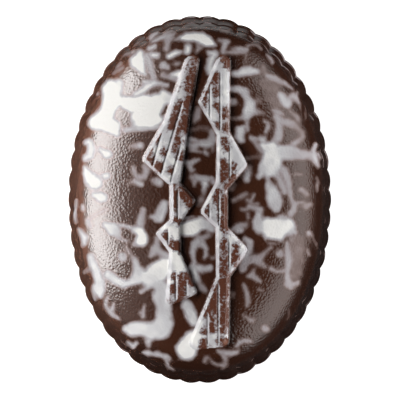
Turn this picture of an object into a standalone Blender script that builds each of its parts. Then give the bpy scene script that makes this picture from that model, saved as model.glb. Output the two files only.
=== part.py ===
"""A moulded chocolate praline: an oval dome on a fluted wall, with two ribbed strands raised on its top.

The praline lies on its flat foot, its length along Y. The two strands run side by side along the length:
each is a straight stem with pointed leaves to its left and right, and a fan at its lower end.
"""

import math

import bmesh
import bpy
import numpy as np
from mathutils import Vector

MM = 0.001

# Body, measured over the crests of the flutes
LENGTH = 40.0 * MM
WIDTH = 28.6 * MM
HEIGHT = 14.2 * MM  # foot to the top of the dome, between the strands
OVAL_POWER = 2.075  # of the outline: 2 is an ellipse, more is fuller at the corners

# Fluted wall under the dome
FLUTES = 50
FLUTE_DEPTH = 0.22 * MM
WALL_HEIGHT = 5.3 * MM
WALL_DRAFT_SIDE = 0.95 * MM  # how far the wall leans in over its height, at the long sides
WALL_DRAFT_END = 1.35 * MM  # and at the two ends
# Each ring of the wall: its share of the wall's height, of the draft and of the flutes' depth
WALL_RINGS = (
    (0.00, 0.00, 1.00),  # foot
    (0.14, 0.03, 1.00),  # top of the lip round the foot
    (0.19, 0.19, 1.00),
    (0.51, 0.52, 1.00),  # top of the lower tier
    (0.575, 0.65, 1.00),  # back of the narrow ledge
    (0.81, 0.80, 0.95),
    (0.94, 0.95, 0.40),  # the flutes arch over
    (1.00, 1.00, 0.00),  # shoulder, where the dome begins
)

# Strands, measured from the surface of the dome
STRAND_HEIGHT = 0.7 * MM
STRAND_SLOPE = 0.34 * MM  # width of the drafted sides, seen from above
STRAND_ROOT = 0.6 * MM  # how deep a strand reaches into the dome
GROOVE_WIDTH = 0.40 * MM
GROOVE_DEPTH = 0.40 * MM
GROOVE_RUN = 0.9 * MM  # over this length a groove's end rises to nothing

# Fineness
WALL_STEPS = 6  # faces across one flute
LOWER_DOME_STEPS = 2
UPPER_DOME_STEPS = 1
DOME_RINGS = 13
UPPER_DOME_RINGS = 5  # of the dome's rings, those near the top
STRAND_CELL = 1.3 * MM
GROOVE_STEP = 1.2 * MM
CORNER_STEPS = 3

# Outlines seen from above, clockwise, in millimetres: x, y, and where a corner's rounding starts
LEFT_STRAND = (
    (-1.50, 15.55, 0.62),
    (0.05, 15.55, 0.62),
    (-1.03, 8.90, 0.0),
    (-2.00, 1.75, 0.0),
    (-0.35, -0.10, 0.28),
    (-2.03, -2.50, 0.0),
    (-2.03, -5.60, 0.0),
    (-0.07, -10.15, 0.65),
    (-3.75, -11.70, 0.95),
    (-3.32, -5.70, 0.0),
    (-4.80, -3.65, 0.30),
    (-3.22, -2.15, 0.0),
    (-3.25, 1.50, 0.0),
    (-4.50, 2.60, 0.0),
    (-6.30, 4.30, 0.42),
    (-3.85, 8.60, 0.0),
)
RIGHT_STRAND = (
    (1.95, 15.50, 0.50),
    (3.30, 15.50, 0.55),
    (3.24, 7.35, 0.0),
    (5.27, 3.70, 0.40),
    (3.03, 1.15, 0.0),
    (3.01, -2.95, 0.0),
    (5.36, -5.37, 0.50),
    (3.28, -8.30, 0.0),
    (3.13, -15.90, 0.75),
    (-1.60, -16.40, 1.30),
    (1.72, -8.28, 0.0),
    (1.69, -3.00, 0.0),
    (-0.08, -1.35, 0.50),
    (1.71, 1.90, 0.0),
    (1.81, 6.90, 0.0),
    (1.53, 7.40, 0.0),
    (-0.26, 10.50, 0.20),
)

# The grooves that part the strands into ribs, in millimetres, from x, y to x, y
GROOVES = (
    (-3.97, 7.50, -5.42, 2.40),
    (-1.72, 10.90, -4.45, 1.75),
    (-1.94, 6.20, -3.40, 0.85),
    (-2.37, 1.45, -2.35, -2.50),
    (-3.37, -2.90, -3.39, -5.25),
    (-2.57, -7.80, -2.57, -12.40),
    (-1.40, -8.60, -1.40, -12.00),
    (1.10, 12.70, 1.10, 7.20),
    (2.21, 14.25, 2.20, 6.90),
    (3.23, 6.10, 3.20, 1.75),
    (1.04, -0.35, 1.04, -3.30),
    (2.07, 1.15, 2.07, -3.25),
    (3.16, -3.80, 3.16, -7.95),
    (1.99, -8.65, 1.99, -17.10),
    (0.83, -11.70, 0.83, -17.20),
)

# Finish
CHOCOLATE_COLOUR = (0.069, 0.018, 0.009, 1.0)  # linear
CHOCOLATE_ROUGHNESS = 0.35
SMOOTH_ANGLE = math.radians(30)


def clear_scene():
    for obj in list(bpy.data.objects):
        bpy.data.objects.remove(obj, do_unlink=True)


def new_object(name, bm, collection):
    """Makes the mesh an object of the collection, with its faces looking out."""
    bmesh.ops.recalc_face_normals(bm, faces=bm.faces[:])
    mesh = bpy.data.meshes.new(name)
    bm.to_mesh(mesh)
    bm.free()
    obj = bpy.data.objects.new(name, mesh)
    collection.objects.link(obj)
    return obj


def oval_point(half_width, half_length, angle):
    """A point of an oval, and the direction that looks straight out of it there."""
    cosine, sine = math.cos(angle), math.sin(angle)
    x = half_width * math.copysign(abs(cosine) ** (2 / OVAL_POWER), cosine)
    y = half_length * math.copysign(abs(sine) ** (2 / OVAL_POWER), sine)
    steep_x = math.copysign(abs(x / half_width) ** (OVAL_POWER - 1) / half_width, x)
    steep_y = math.copysign(abs(y / half_length) ** (OVAL_POWER - 1) / half_length, y)
    return Vector((x, y)), Vector((steep_x, steep_y)).normalized()


def evenly_spaced_angles(count):
    """The angles of points that lie evenly spaced along the foot's outline, and its length."""
    fine = np.linspace(0.0, 2 * math.pi, 20 * count + 1)
    points = np.array([oval_point(WIDTH / 2, LENGTH / 2, angle)[0] for angle in fine])
    steps = np.linalg.norm(np.diff(points, axis=0), axis=1)
    travelled = np.append(0.0, np.cumsum(steps))
    wanted = np.linspace(0.0, travelled[-1], count, endpoint=False)
    return np.interp(wanted, travelled, fine), travelled[-1]


def flute_inset(phase, pitch):
    """How far a flute's round face lies inside its crest: 0 at phase 0, its depth at phase 0.5."""
    half_pitch = pitch / 2
    radius = (half_pitch**2 + FLUTE_DEPTH**2) / (2 * FLUTE_DEPTH)
    return radius - math.sqrt(radius**2 - (phase * pitch) ** 2)


def dome_height(x, y):
    """Height of the dome's surface. From the shoulder up, the dome is elliptic in section."""
    across = abs(x) / (WIDTH / 2 - WALL_DRAFT_SIDE)
    along = abs(y) / (LENGTH / 2 - WALL_DRAFT_END)
    from_middle = min(1.0, across**OVAL_POWER + along**OVAL_POWER) ** (1 / OVAL_POWER)
    return WALL_HEIGHT + (HEIGHT - WALL_HEIGHT) * math.sqrt(1.0 - from_middle**2)


def closed_loop(bm, points):
    """A closed loop of edges through the points."""
    verts = [bm.verts.new(point) for point in points]
    return [bm.edges.new((verts[index - 1], vert)) for index, vert in enumerate(verts)]


def wall_loop(bm, angles, pitch, height_share, draft_share, flute_share):
    """One ring of the wall, with the flutes' round faces in it."""
    half_width = WIDTH / 2 - draft_share * WALL_DRAFT_SIDE
    half_length = LENGTH / 2 - draft_share * WALL_DRAFT_END
    points = []
    for index, angle in enumerate(angles):
        phase = (index / WALL_STEPS + 0.5) % 1.0 - 0.5
        point, out = oval_point(half_width, half_length, angle)
        point -= out * flute_share * flute_inset(phase, pitch)
        points.append((point.x, point.y, height_share * WALL_HEIGHT))
    return closed_loop(bm, points)


def dome_loop(bm, angles, tilt):
    """One ring of the dome: tilt is 90 degrees at the shoulder and 0 at the top."""
    half_width = (WIDTH / 2 - WALL_DRAFT_SIDE) * math.sin(tilt)
    half_length = (LENGTH / 2 - WALL_DRAFT_END) * math.sin(tilt)
    height = WALL_HEIGHT + (HEIGHT - WALL_HEIGHT) * math.cos(tilt)
    outline = [oval_point(half_width, half_length, angle)[0] for angle in angles]
    return closed_loop(bm, [(point.x, point.y, height) for point in outline])


def make_body():
    """The fluted wall and the dome, bridged from loop to loop, with a flat foot."""
    angles, outline_length = evenly_spaced_angles(FLUTES * WALL_STEPS)
    pitch = outline_length / FLUTES
    bm = bmesh.new()
    loops = [wall_loop(bm, angles, pitch, *shares) for shares in WALL_RINGS]
    for index in range(1, DOME_RINGS):
        near_top = index >= DOME_RINGS - UPPER_DOME_RINGS
        steps = UPPER_DOME_STEPS if near_top else LOWER_DOME_STEPS
        tilt = math.pi / 2 * (1 - index / DOME_RINGS)
        loops.append(dome_loop(bm, angles[:: WALL_STEPS // steps], tilt))
    for lower, upper in zip(loops[:-1], loops[1:]):
        bmesh.ops.bridge_loops(bm, edges=lower + upper)
    bmesh.ops.edgeloop_fill(bm, edges=loops[0])
    bmesh.ops.edgeloop_fill(bm, edges=loops[-1])
    return new_object("praline", bm, bpy.context.scene.collection)


def cut_into_cells(bm):
    """Cuts the mesh by upright planes, so that it can bend over the dome."""
    for axis in (Vector((1, 0, 0)), Vector((0, 1, 0))):
        reach = [vert.co.dot(axis) for vert in bm.verts]
        first = math.ceil(min(reach) / STRAND_CELL)
        last = math.floor(max(reach) / STRAND_CELL)
        for index in range(first, last + 1):
            geometry = bm.verts[:] + bm.edges[:] + bm.faces[:]
            place = axis * index * STRAND_CELL
            bmesh.ops.bisect_plane(bm, geom=geometry, plane_co=place, plane_no=axis)


def lay_on_dome(bm):
    """Lifts each vertex by the dome's height under it, so that heights count from the surface."""
    for vert in bm.verts:
        vert.co.z += dome_height(vert.co.x, vert.co.y)


def make_strand(name, outline, collection):
    """A raised strand: its outline with rounded corners and drafted sides, laid on the dome."""
    bm = bmesh.new()
    corners = [bm.verts.new((x * MM, y * MM, 0.0)) for x, y, _ in outline]
    bm.faces.new(corners).normal_update()
    for corner, (_, _, rounding) in zip(corners, outline):
        if rounding:
            bmesh.ops.bevel(
                bm,
                geom=[corner],
                offset=rounding * MM,
                segments=CORNER_STEPS,
                profile=0.5,
                affect="VERTICES",
            )
    (top,) = bm.faces
    bmesh.ops.inset_region(
        bm,
        faces=[top],
        thickness=STRAND_SLOPE,
        use_boundary=True,
        use_even_offset=True,
    )
    for vert in top.verts:
        vert.co.z = STRAND_HEIGHT
    rim = [edge for edge in bm.edges if edge.is_boundary]
    root = bmesh.ops.extrude_edge_only(bm, edges=rim)["geom"]
    bmesh.ops.translate(
        bm,
        verts=[part for part in root if isinstance(part, bmesh.types.BMVert)],
        vec=(0, 0, -STRAND_ROOT),
    )
    bmesh.ops.edgeloop_fill(bm, edges=[edge for edge in bm.edges if edge.is_boundary])
    cut_into_cells(bm)
    bmesh.ops.triangulate(bm, faces=bm.faces[:])
    lay_on_dome(bm)
    return new_object(name, bm, collection)


def make_groove_cutter(name, groove, collection):
    """A wedge that cuts one V-shaped groove. It deepens from its start and rises at its end."""
    start, end = Vector(groove[:2]) * MM, Vector(groove[2:]) * MM
    length = (end - start).length
    side = (end - start).orthogonal().normalized()
    rows = math.ceil(length / GROOVE_STEP) + 2
    stations = [0.0, *np.linspace(GROOVE_RUN, length - GROOVE_RUN, rows), length]
    clearance = 0.2 * MM
    widening = 1 + clearance / GROOVE_DEPTH
    bm = bmesh.new()
    sections = []
    for station in stations:
        middle = start.lerp(end, station / length)
        share = 0.1 if station in (0.0, length) else 1.0
        arm = side * share * widening * GROOVE_WIDTH / 2
        high = STRAND_HEIGHT + share * clearance
        low = STRAND_HEIGHT - share * GROOVE_DEPTH
        section = ((middle + arm, high), (middle - arm, high), (middle, low))
        sections.append([bm.verts.new((place.x, place.y, z)) for place, z in section])
    for here, there in zip(sections[:-1], sections[1:]):
        for index in range(3):
            bm.faces.new((here[index - 1], here[index], there[index], there[index - 1]))
    bm.faces.new(sections[0])
    bm.faces.new(sections[-1])
    bmesh.ops.triangulate(bm, faces=bm.faces[:])
    lay_on_dome(bm)
    return new_object(name, bm, collection)


def helper_collection(name):
    collection = bpy.data.collections.new(name)
    bpy.context.scene.collection.children.link(collection)
    return collection


def apply_boolean(body, operation, collection):
    """Joins the collection's objects to the body, or cuts them out of it, and removes them."""
    modifier = body.modifiers.new(collection.name, "BOOLEAN")
    modifier.operation = operation
    modifier.operand_type = "COLLECTION"
    modifier.collection = collection
    graph = bpy.context.evaluated_depsgraph_get()
    mesh = bpy.data.meshes.new_from_object(body.evaluated_get(graph))
    body.modifiers.clear()
    body.data = mesh
    for obj in list(collection.objects):
        bpy.data.objects.remove(obj, do_unlink=True)
    bpy.data.collections.remove(collection)


def finish(body):
    """Gives the praline its chocolate and smooths the shading of its round faces."""
    material = bpy.data.materials.new("dark_chocolate")
    material.use_nodes = True
    shader = material.node_tree.nodes["Principled BSDF"]
    shader.inputs["Base Color"].default_value = CHOCOLATE_COLOUR
    shader.inputs["Roughness"].default_value = CHOCOLATE_ROUGHNESS
    shader.inputs["Metallic"].default_value = 0.0
    body.data.materials.clear()
    body.data.materials.append(material)
    body.data.shade_smooth()
    body.data.set_sharp_from_angle(angle=SMOOTH_ANGLE)


def main():
    clear_scene()
    body = make_body()
    strands = helper_collection("strands")
    make_strand("left_strand", LEFT_STRAND, strands)
    make_strand("right_strand", RIGHT_STRAND, strands)
    apply_boolean(body, "UNION", strands)
    grooves = helper_collection("grooves")
    for index, groove in enumerate(GROOVES):
        make_groove_cutter(f"groove_{index}", groove, grooves)
    apply_boolean(body, "DIFFERENCE", grooves)
    finish(body)


main()
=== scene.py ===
"""The looks of a moulded chocolate praline, marbled in white and dark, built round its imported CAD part.

Lengths inside the formulas are in millimetres. Positions are seen from above: x to the right, y to the top
of the picture, and both count from the middle of the praline.
"""

import math

import bmesh
import bpy
import numpy as np
from bpy.props import FloatProperty, FloatVectorProperty, IntProperty, PointerProperty
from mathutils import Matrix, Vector
from mathutils.geometry import delaunay_2d_cdt


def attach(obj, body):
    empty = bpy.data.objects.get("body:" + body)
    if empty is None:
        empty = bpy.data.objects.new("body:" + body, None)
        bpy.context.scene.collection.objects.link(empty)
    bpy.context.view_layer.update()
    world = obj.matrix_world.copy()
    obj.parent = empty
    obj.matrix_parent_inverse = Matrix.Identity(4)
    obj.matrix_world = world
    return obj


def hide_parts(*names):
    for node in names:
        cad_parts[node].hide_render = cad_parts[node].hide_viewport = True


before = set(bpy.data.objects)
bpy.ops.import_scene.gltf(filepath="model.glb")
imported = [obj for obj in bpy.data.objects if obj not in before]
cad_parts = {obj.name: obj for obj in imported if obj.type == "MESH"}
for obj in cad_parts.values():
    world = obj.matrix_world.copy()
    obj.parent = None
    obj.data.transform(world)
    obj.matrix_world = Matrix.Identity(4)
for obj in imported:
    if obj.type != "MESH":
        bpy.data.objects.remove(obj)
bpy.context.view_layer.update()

bl_info = {
    "name": "Marbled Praline",
    "version": (1, 0, 0),
    "blender": (4, 5, 0),
    "location": "View3D > Sidebar > Praline",
    "description": "A marbled chocolate praline with two ribbed strands, and the studio round it",
    "category": "Object",
}

MM = 0.001

# --- Form ---------------------------------------------------------------------------------------------

# Outlines of the two raised strands, clockwise: x, y, and how far from a corner its rounding starts
LEFT_STRAND = (
    (-1.50, 15.55, 0.62),
    (0.05, 15.55, 0.62),
    (-1.03, 8.90, 0.0),
    (-2.00, 1.75, 0.0),
    (-0.35, -0.10, 0.28),
    (-2.03, -2.50, 0.0),
    (-2.03, -5.60, 0.0),
    (-0.07, -10.15, 0.65),
    (-3.75, -11.70, 0.95),
    (-3.32, -5.70, 0.0),
    (-4.80, -3.65, 0.30),
    (-3.22, -2.15, 0.0),
    (-3.25, 1.50, 0.0),
    (-4.50, 2.60, 0.0),
    (-6.30, 4.30, 0.42),
    (-3.85, 8.60, 0.0),
)
RIGHT_STRAND = (
    (1.95, 15.50, 0.50),
    (3.30, 15.50, 0.55),
    (3.24, 7.35, 0.0),
    (5.27, 3.70, 0.40),
    (3.03, 1.15, 0.0),
    (3.01, -2.95, 0.0),
    (5.36, -5.37, 0.50),
    (3.28, -8.30, 0.0),
    (3.13, -15.90, 0.75),
    (-1.60, -16.40, 1.30),
    (1.72, -8.28, 0.0),
    (1.69, -3.00, 0.0),
    (-0.08, -1.35, 0.50),
    (1.71, 1.90, 0.0),
    (1.81, 6.90, 0.0),
    (1.53, 7.40, 0.0),
    (-0.26, 10.50, 0.20),
)

# Grooves that part the strands into ribs, from x, y to x, y
GROOVES = (
    (-3.97, 7.50, -5.42, 2.40),
    (-1.72, 10.90, -4.45, 1.75),
    (-1.94, 6.20, -3.40, 0.85),
    (-2.37, 1.45, -2.35, -2.50),
    (-3.37, -2.90, -3.39, -5.25),
    (-2.57, -7.80, -2.57, -12.40),
    (-1.40, -8.60, -1.40, -12.00),
    (1.10, 12.70, 1.10, 7.20),
    (2.21, 14.25, 2.20, 6.90),
    (3.23, 6.10, 3.20, 1.75),
    (1.04, -0.35, 1.04, -3.30),
    (2.07, 1.15, 2.07, -3.25),
    (3.16, -3.80, 3.16, -7.95),
    (1.99, -8.65, 1.99, -17.10),
    (0.83, -11.70, 0.83, -17.20),
)

# Shallow creases across the narrow waists, where two ribs meet
CREASES = (
    (-3.30, 1.45, -1.95, 1.70),
    (-3.30, -2.20, -2.00, -2.50),
    (-3.35, -5.65, -2.00, -5.60),
    (1.55, 7.45, 3.30, 7.35),
    (1.65, 1.55, 3.05, 1.20),
    (1.65, -3.05, 3.05, -2.95),
    (1.70, -8.30, 3.30, -8.30),
)

# Folds in the two right-hand leaves. Past each, the leaf falls away a little: x, from y, to y
FOLDS = ((4.31, 2.60, 5.30), (4.29, -7.00, -4.30))
FOLD_FALL = 0.16  # mm of height for each mm to the right

# Rings of the wall: height in mm, share of the draft, share of the flutes' depth
WALL_PROFILE = (
    (0.00, 0.05, 0.9),
    (0.06, 0.00, 1.0),
    (0.70, 0.03, 1.0),  # lip round the foot
    (1.02, 0.19, 1.0),
    (2.60, 0.50, 1.0),  # top of the lower tier
    (2.80, 0.54, 1.0),
    (3.05, 0.65, 1.0),  # ledge
    (4.30, 0.80, 0.95),
    (4.75, 0.90, 0.75),  # the flutes arch over
    (5.05, 0.96, 0.30),
    (5.18, 0.99, 0.0),
    (5.30, 1.00, 0.0),  # shoulder, where the dome begins
)

# Fine forms of the relief, in mm
CREASE_WIDTH = 0.30
CREASE_DEPTH = 0.10
TOP_ROUNDING = 0.10  # of the strands' upper edges
FOOT_ROUNDING = 0.06  # to each side of the line where they meet the dome
GROOVE_ROUNDING = 0.05  # of the grooves' upper edges
GROOVE_FLOOR = 0.02  # how round their bottoms are
WAVES = ((0.016, 3.1, 3), (0.007, 1.3, 4))  # of the cast dome: height and width in mm, and seed

# Slight faults of the cast wall and foot, in mm
FLUTE_WEAR = 0.22  # how much the flutes' depth varies, as a share of it
WALL_RIPPLE = 0.02  # in and out
LEDGE_RIPPLE = 0.05  # up and down
WALL_INSET = 0.01  # how far the looks lie inside the solid's crests
WALL_RADIUS = 14  # of the circle round which the ripples run
FOOT_EDGE = 0.25  # width of the flat edge round the foot
FOOT_HOLLOW = 0.05
FOOT_DRAFT = 0.10  # share of the draft by which the foot's grid is smaller than the outline
FOOT_MARGIN = 0.9  # how far inside it the foot's grid ends

# Density of the mesh, in mm unless it is a count or a share
SHOULDER_SHARE = 0.93  # the dome is one triangulated cap inside this share of its outline
CAP_SHARE = 0.992  # the cap's inner points stay inside this share of its own outline
STEPS_PER_FLUTE = 14
OUTLINE_STEPS = 20001  # for measuring the way round the outline
OUTER_DOME_RINGS = 10
CORNER_POINTS = 9
COARSE_STEP = 0.17
FINE_STEP = 0.10
FINE_MARGIN = 0.35  # the fine points reach this far past a strand's foot
FINE_GAP = 0.05  # between the coarse and the fine points
STRANDS_FROM, STRANDS_TO = -7.0, 6.0  # all of both strands lies between these x
BASE_STEP = 0.6
MERGE_STEP = 0.004  # points nearer than about this become one
LATTICE_SIZE = 97  # random values each way in an unevenness, before they repeat

# --- Marbling -----------------------------------------------------------------------------------------

# Splashes of white on the dome. Each has its thickness, where 1 hides the dark chocolate, and a chain of
# discs: x, y and radius in mm.
DOME_WHITES = (
    # the wide sheet on the upper left, and its fringe
    (1.0, (-9.6, 12.0, 1.0), (-9.5, 10.9, 1.0), (-9.6, 9.9, 0.95), (-10.3, 9.0, 0.95), (-11.2, 8.4, 0.75)),
    (0.9, (-8.7, 12.6, 0.45), (-8.9, 11.8, 0.5)),
    (1.0, (-9.4, 10.4, 0.9), (-8.3, 10.5, 0.75), (-7.2, 10.2, 0.95), (-6.0, 10.2, 1.2),
     (-5.0, 10.0, 1.25), (-4.2, 11.0, 0.85)),
    (0.86, (-4.2, 11.0, 0.8), (-3.3, 10.8, 0.6)),
    (1.0, (-6.5, 8.7, 1.05), (-5.4, 8.7, 1.1), (-4.8, 9.0, 1.0)),
    (1.0, (-11.3, 8.3, 0.75), (-10.2, 8.3, 0.95), (-9.3, 7.8, 0.85), (-8.95, 7.2, 0.45)),
    (0.7, (-7.2, 7.8, 0.25), (-7.1, 8.4, 0.4)),
    (0.8, (-6.0, 12.7, 0.25), (-5.0, 12.6, 0.25), (-4.2, 12.45, 0.25), (-3.5, 12.3, 0.25)),
    # drops above it
    (1.0, (-6.4, 15.8, 0.42), (-6.7, 15.0, 0.85), (-6.2, 13.9, 0.4), (-5.9, 13.6, 0.2)),
    (0.85, (-5.45, 16.4, 0.24), (-4.95, 16.55, 0.24)),
    (0.9, (-5.05, 15.6, 0.34), (-4.65, 15.55, 0.34)),
    (0.85, (-5.2, 17.1, 0.1), (-4.8, 17.3, 0.18), (-4.2, 17.55, 0.25), (-3.4, 17.7, 0.28),
     (-2.7, 17.95, 0.12)),
    (0.85, (-5.35, 17.5, 0.15), (-5.0, 17.85, 0.2), (-4.6, 18.1, 0.12)),
    (0.75, (-3.8, 18.0, 0.12), (-3.0, 18.3, 0.1)),
    (0.5, (-3.0, 17.35, 0.15), (-2.4, 17.35, 0.15)),
    (0.9, (-1.3, 16.45, 0.42), (-1.35, 16.0, 0.38)),
    (0.95, (-3.3, 15.5, 0.32), (-2.6, 15.8, 0.35), (-2.2, 15.9, 0.2)),
    (0.7, (-3.9, 14.5, 0.4), (-3.5, 14.3, 0.3)),
    (0.5, (-2.55, 14.65, 0.22), (-2.3, 14.65, 0.22)),
    (0.95, (-2.9, 13.5, 0.3), (-2.3, 13.55, 0.45), (-1.9, 13.4, 0.5)),
    # the long drop at the top, and the thin arms under it
    (1.0, (-2.0, 17.5, 0.3), (-1.4, 17.6, 0.5), (-0.6, 17.55, 0.5), (0.2, 17.4, 0.68), (0.8, 17.1, 0.55)),
    (1.0, (0.8, 17.1, 0.55), (1.4, 16.8, 0.25), (1.65, 16.7, 0.1)),
    (0.38, (-0.2, 16.7, 0.2), (-0.1, 16.3, 0.3), (-0.3, 16.0, 0.25)),
    (0.85, (1.0, 15.85, 0.3), (1.5, 15.75, 0.4), (1.2, 15.0, 0.42), (1.05, 14.3, 0.42), (1.05, 13.7, 0.28)),
    (0.65, (2.1, 17.2, 0.15), (3.0, 17.2, 0.15)),
    (0.65, (2.75, 17.0, 0.4), (2.6, 16.4, 0.3), (2.55, 15.95, 0.25)),
    (0.3, (3.5, 16.3, 0.25), (3.8, 16.3, 0.25)),
    (0.62, (4.1, 16.3, 0.33), (5.1, 16.2, 0.3)),
    (0.5, (5.3, 16.65, 0.15), (5.8, 16.8, 0.12), (6.3, 16.7, 0.12), (6.6, 16.3, 0.12)),
    (0.35, (5.05, 15.8, 0.18), (5.05, 14.9, 0.18)),
    (0.6, (2.3, 18.3, 0.08), (2.9, 18.2, 0.1), (3.1, 18.35, 0.06)),
    # the bar on the upper right, the round drop under it, and the arcs that leave them
    (0.82, (3.6, 13.6, 0.25), (4.2, 13.55, 0.35), (4.8, 13.85, 0.5), (5.4, 13.9, 0.5), (6.1, 13.9, 0.42)),
    (0.72, (3.3, 12.0, 0.25), (4.1, 11.9, 0.4), (4.8, 11.6, 0.5), (5.2, 11.0, 0.65), (5.3, 10.3, 0.8)),
    (0.85, (5.3, 10.3, 0.75), (5.3, 9.7, 0.75), (5.1, 9.2, 0.6)),
    (0.5, (5.1, 9.2, 0.5), (4.4, 8.9, 0.25), (3.7, 8.8, 0.25)),
    (0.1, (5.8, 10.9, 0.3), (5.9, 10.9, 0.3)),
    (0.4, (6.2, 10.8, 0.3), (6.6, 10.5, 0.25)),
    (0.85, (5.4, 9.2, 0.4), (5.7, 9.2, 0.4)),
    (0.4, (5.8, 9.25, 0.35), (6.4, 9.5, 0.3), (6.9, 9.3, 0.2)),
    (0.6, (5.1, 8.5, 0.2), (5.2, 7.5, 0.15)),
    (0.78, (4.8, 7.9, 0.25), (4.4, 7.4, 0.55), (4.3, 6.9, 0.5), (4.5, 6.4, 0.35)),
    (0.75, (5.6, 6.7, 0.25), (6.3, 6.8, 0.25), (7.0, 6.5, 0.4)),
    (0.3, (6.8, 14.7, 0.3), (6.9, 14.2, 0.3), (7.0, 13.7, 0.3)),
    (0.08, (5.7, 15.3, 0.5), (6.6, 15.0, 0.5)),
    (0.22, (7.0, 12.6, 0.6), (7.8, 12.0, 0.7), (7.5, 11.2, 0.6), (8.2, 10.3, 0.5)),
    # painted highlight: a glint on the rim's ledge, drawn as a streak of white
    (0.7, (7.3, 15.7, 0.08), (7.6, 15.3, 0.15), (7.85, 14.8, 0.12)),
    (0.65, (7.3, 13.4, 0.25), (8.0, 13.15, 0.25), (8.6, 12.9, 0.22), (9.2, 12.65, 0.18), (9.9, 12.0, 0.1)),
    (0.5, (7.6, 13.0, 0.2), (8.4, 12.75, 0.2), (9.0, 12.5, 0.15)),
    (0.72, (8.7, 11.3, 0.4), (9.1, 10.9, 0.6), (9.4, 10.5, 0.6), (9.5, 10.15, 0.35)),
    (0.62, (9.6, 11.0, 0.25), (10.1, 11.3, 0.4), (10.4, 11.0, 0.35), (10.5, 11.6, 0.15)),
    (0.85, (10.5, 10.9, 0.16), (10.9, 10.3, 0.17), (11.1, 9.7, 0.17), (11.25, 9.1, 0.15), (11.3, 8.8, 0.1)),
    # swirls under the right-hand glare
    (0.5, (8.0, 9.6, 0.3), (8.6, 9.4, 0.3), (9.0, 9.2, 0.2)),
    (0.35, (9.8, 9.5, 0.2), (10.3, 9.0, 0.3), (10.7, 8.6, 0.3), (11.0, 8.2, 0.2)),
    (0.55, (8.3, 8.9, 0.4), (9.0, 8.4, 0.45), (9.8, 8.1, 0.45)),
    (0.3, (9.9, 8.1, 0.35), (10.5, 7.8, 0.35), (11.0, 7.3, 0.3)),
    (0.5, (11.0, 7.3, 0.3), (11.1, 6.8, 0.25)),
    (0.62, (8.3, 8.9, 0.35), (8.5, 8.2, 0.4), (8.6, 7.4, 0.45), (8.5, 6.6, 0.5)),
    (0.45, (10.8, 6.6, 0.3), (10.6, 6.4, 0.3)),
    (0.62, (10.5, 6.3, 0.3), (10.2, 6.05, 0.35)),
    # the large star of white on the right: its body, and its arms
    (0.86, (7.7, 5.5, 0.95), (7.8, 4.8, 1.2), (7.7, 3.9, 1.25), (7.7, 3.3, 1.0)),
    (0.92, (7.1, 5.5, 0.5), (6.8, 5.9, 0.4)),
    (0.7, (6.8, 3.6, 0.5), (6.7, 2.9, 0.4), (6.4, 2.5, 0.3)),
    (0.8, (8.8, 5.1, 0.8), (9.8, 5.0, 0.8)),
    (0.62, (9.8, 5.0, 0.75), (11.0, 4.8, 0.55), (12.0, 4.8, 0.4)),
    (0.75, (12.5, 5.9, 0.25), (12.3, 5.2, 0.3), (12.4, 4.7, 0.45), (12.6, 4.1, 0.3), (12.9, 3.5, 0.12)),
    (0.7, (12.9, 4.9, 0.15), (13.1, 4.5, 0.1)),
    (0.6, (9.0, 3.2, 0.45), (9.4, 2.5, 0.4), (9.6, 1.8, 0.35), (9.8, 1.0, 0.3), (9.9, -0.1, 0.15)),
    (0.45, (10.4, 2.7, 0.15), (11.0, 2.7, 0.15)),
    (0.55, (7.5, 2.2, 0.4), (7.7, 1.4, 0.55)),
    (0.9, (7.7, 1.4, 0.55), (8.0, 0.5, 0.75)),
    (0.7, (8.0, 0.5, 0.75), (8.2, -0.4, 0.85), (8.2, -0.9, 0.55)),
    (0.58, (10.0, -0.1, 0.15), (10.3, -0.6, 0.3), (10.2, -1.2, 0.35), (9.8, -1.6, 0.4)),
    (0.5, (10.6, -0.4, 0.2), (11.2, -0.3, 0.2)),
    (0.35, (11.5, -0.7, 0.45), (11.9, -0.5, 0.3)),
    (0.45, (11.0, 1.0, 0.3), (11.5, 0.6, 0.3)),
    (0.5, (12.7, 2.4, 0.08), (12.8, 1.9, 0.1), (12.65, 1.3, 0.12), (12.7, 0.9, 0.08)),
    # the wide drop under it
    (0.68, (6.4, -1.6, 0.4), (6.3, -2.4, 0.6), (6.5, -3.0, 0.75)),
    (0.92, (7.4, -2.9, 1.0), (8.6, -3.0, 1.2), (9.4, -2.9, 1.0)),
    (0.92, (7.9, -3.8, 1.0), (8.2, -3.8, 1.0)),
    (0.7, (10.0, -3.4, 0.5), (10.4, -3.6, 0.3)),
    # small splashes beside the right strand
    (0.4, (5.4, 3.5, 0.3), (5.3, 3.2, 0.35)),
    (0.74, (5.2, 2.9, 0.42), (5.1, 2.3, 0.42)),
    (0.15, (4.8, 2.65, 0.2), (4.4, 2.7, 0.25)),
    (0.25, (3.6, 1.6, 0.4), (3.4, 1.1, 0.3)),
    (0.4, (3.7, -0.1, 0.3), (4.4, 0.2, 0.35), (5.0, 0.6, 0.3)),
    (0.5, (5.9, 0.6, 0.15), (5.8, 0.1, 0.25), (5.6, -0.2, 0.2)),
    (0.45, (5.2, -0.1, 0.15), (5.7, -0.5, 0.15), (6.3, -0.5, 0.15)),
    (0.4, (4.6, -1.1, 0.25), (5.2, -1.1, 0.2)),
    (0.45, (5.2, -1.6, 0.2), (5.2, -2.0, 0.15)),
    (0.47, (3.6, -3.2, 0.2), (4.2, -2.9, 0.45), (4.9, -2.8, 0.35)),
    (0.7, (4.2, -3.3, 0.35), (4.4, -3.3, 0.35)),
    (0.64, (4.9, -4.3, 0.3), (5.4, -4.6, 0.35), (5.4, -5.3, 0.35), (5.2, -5.9, 0.4), (5.0, -6.6, 0.5)),
    (0.52, (5.0, -6.6, 0.5), (4.7, -7.3, 0.5), (4.5, -7.6, 0.3)),
    (0.45, (5.0, -6.7, 0.5), (5.9, -6.4, 0.55), (6.5, -6.3, 0.45), (7.0, -5.8, 0.3), (7.7, -5.2, 0.2)),
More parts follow.
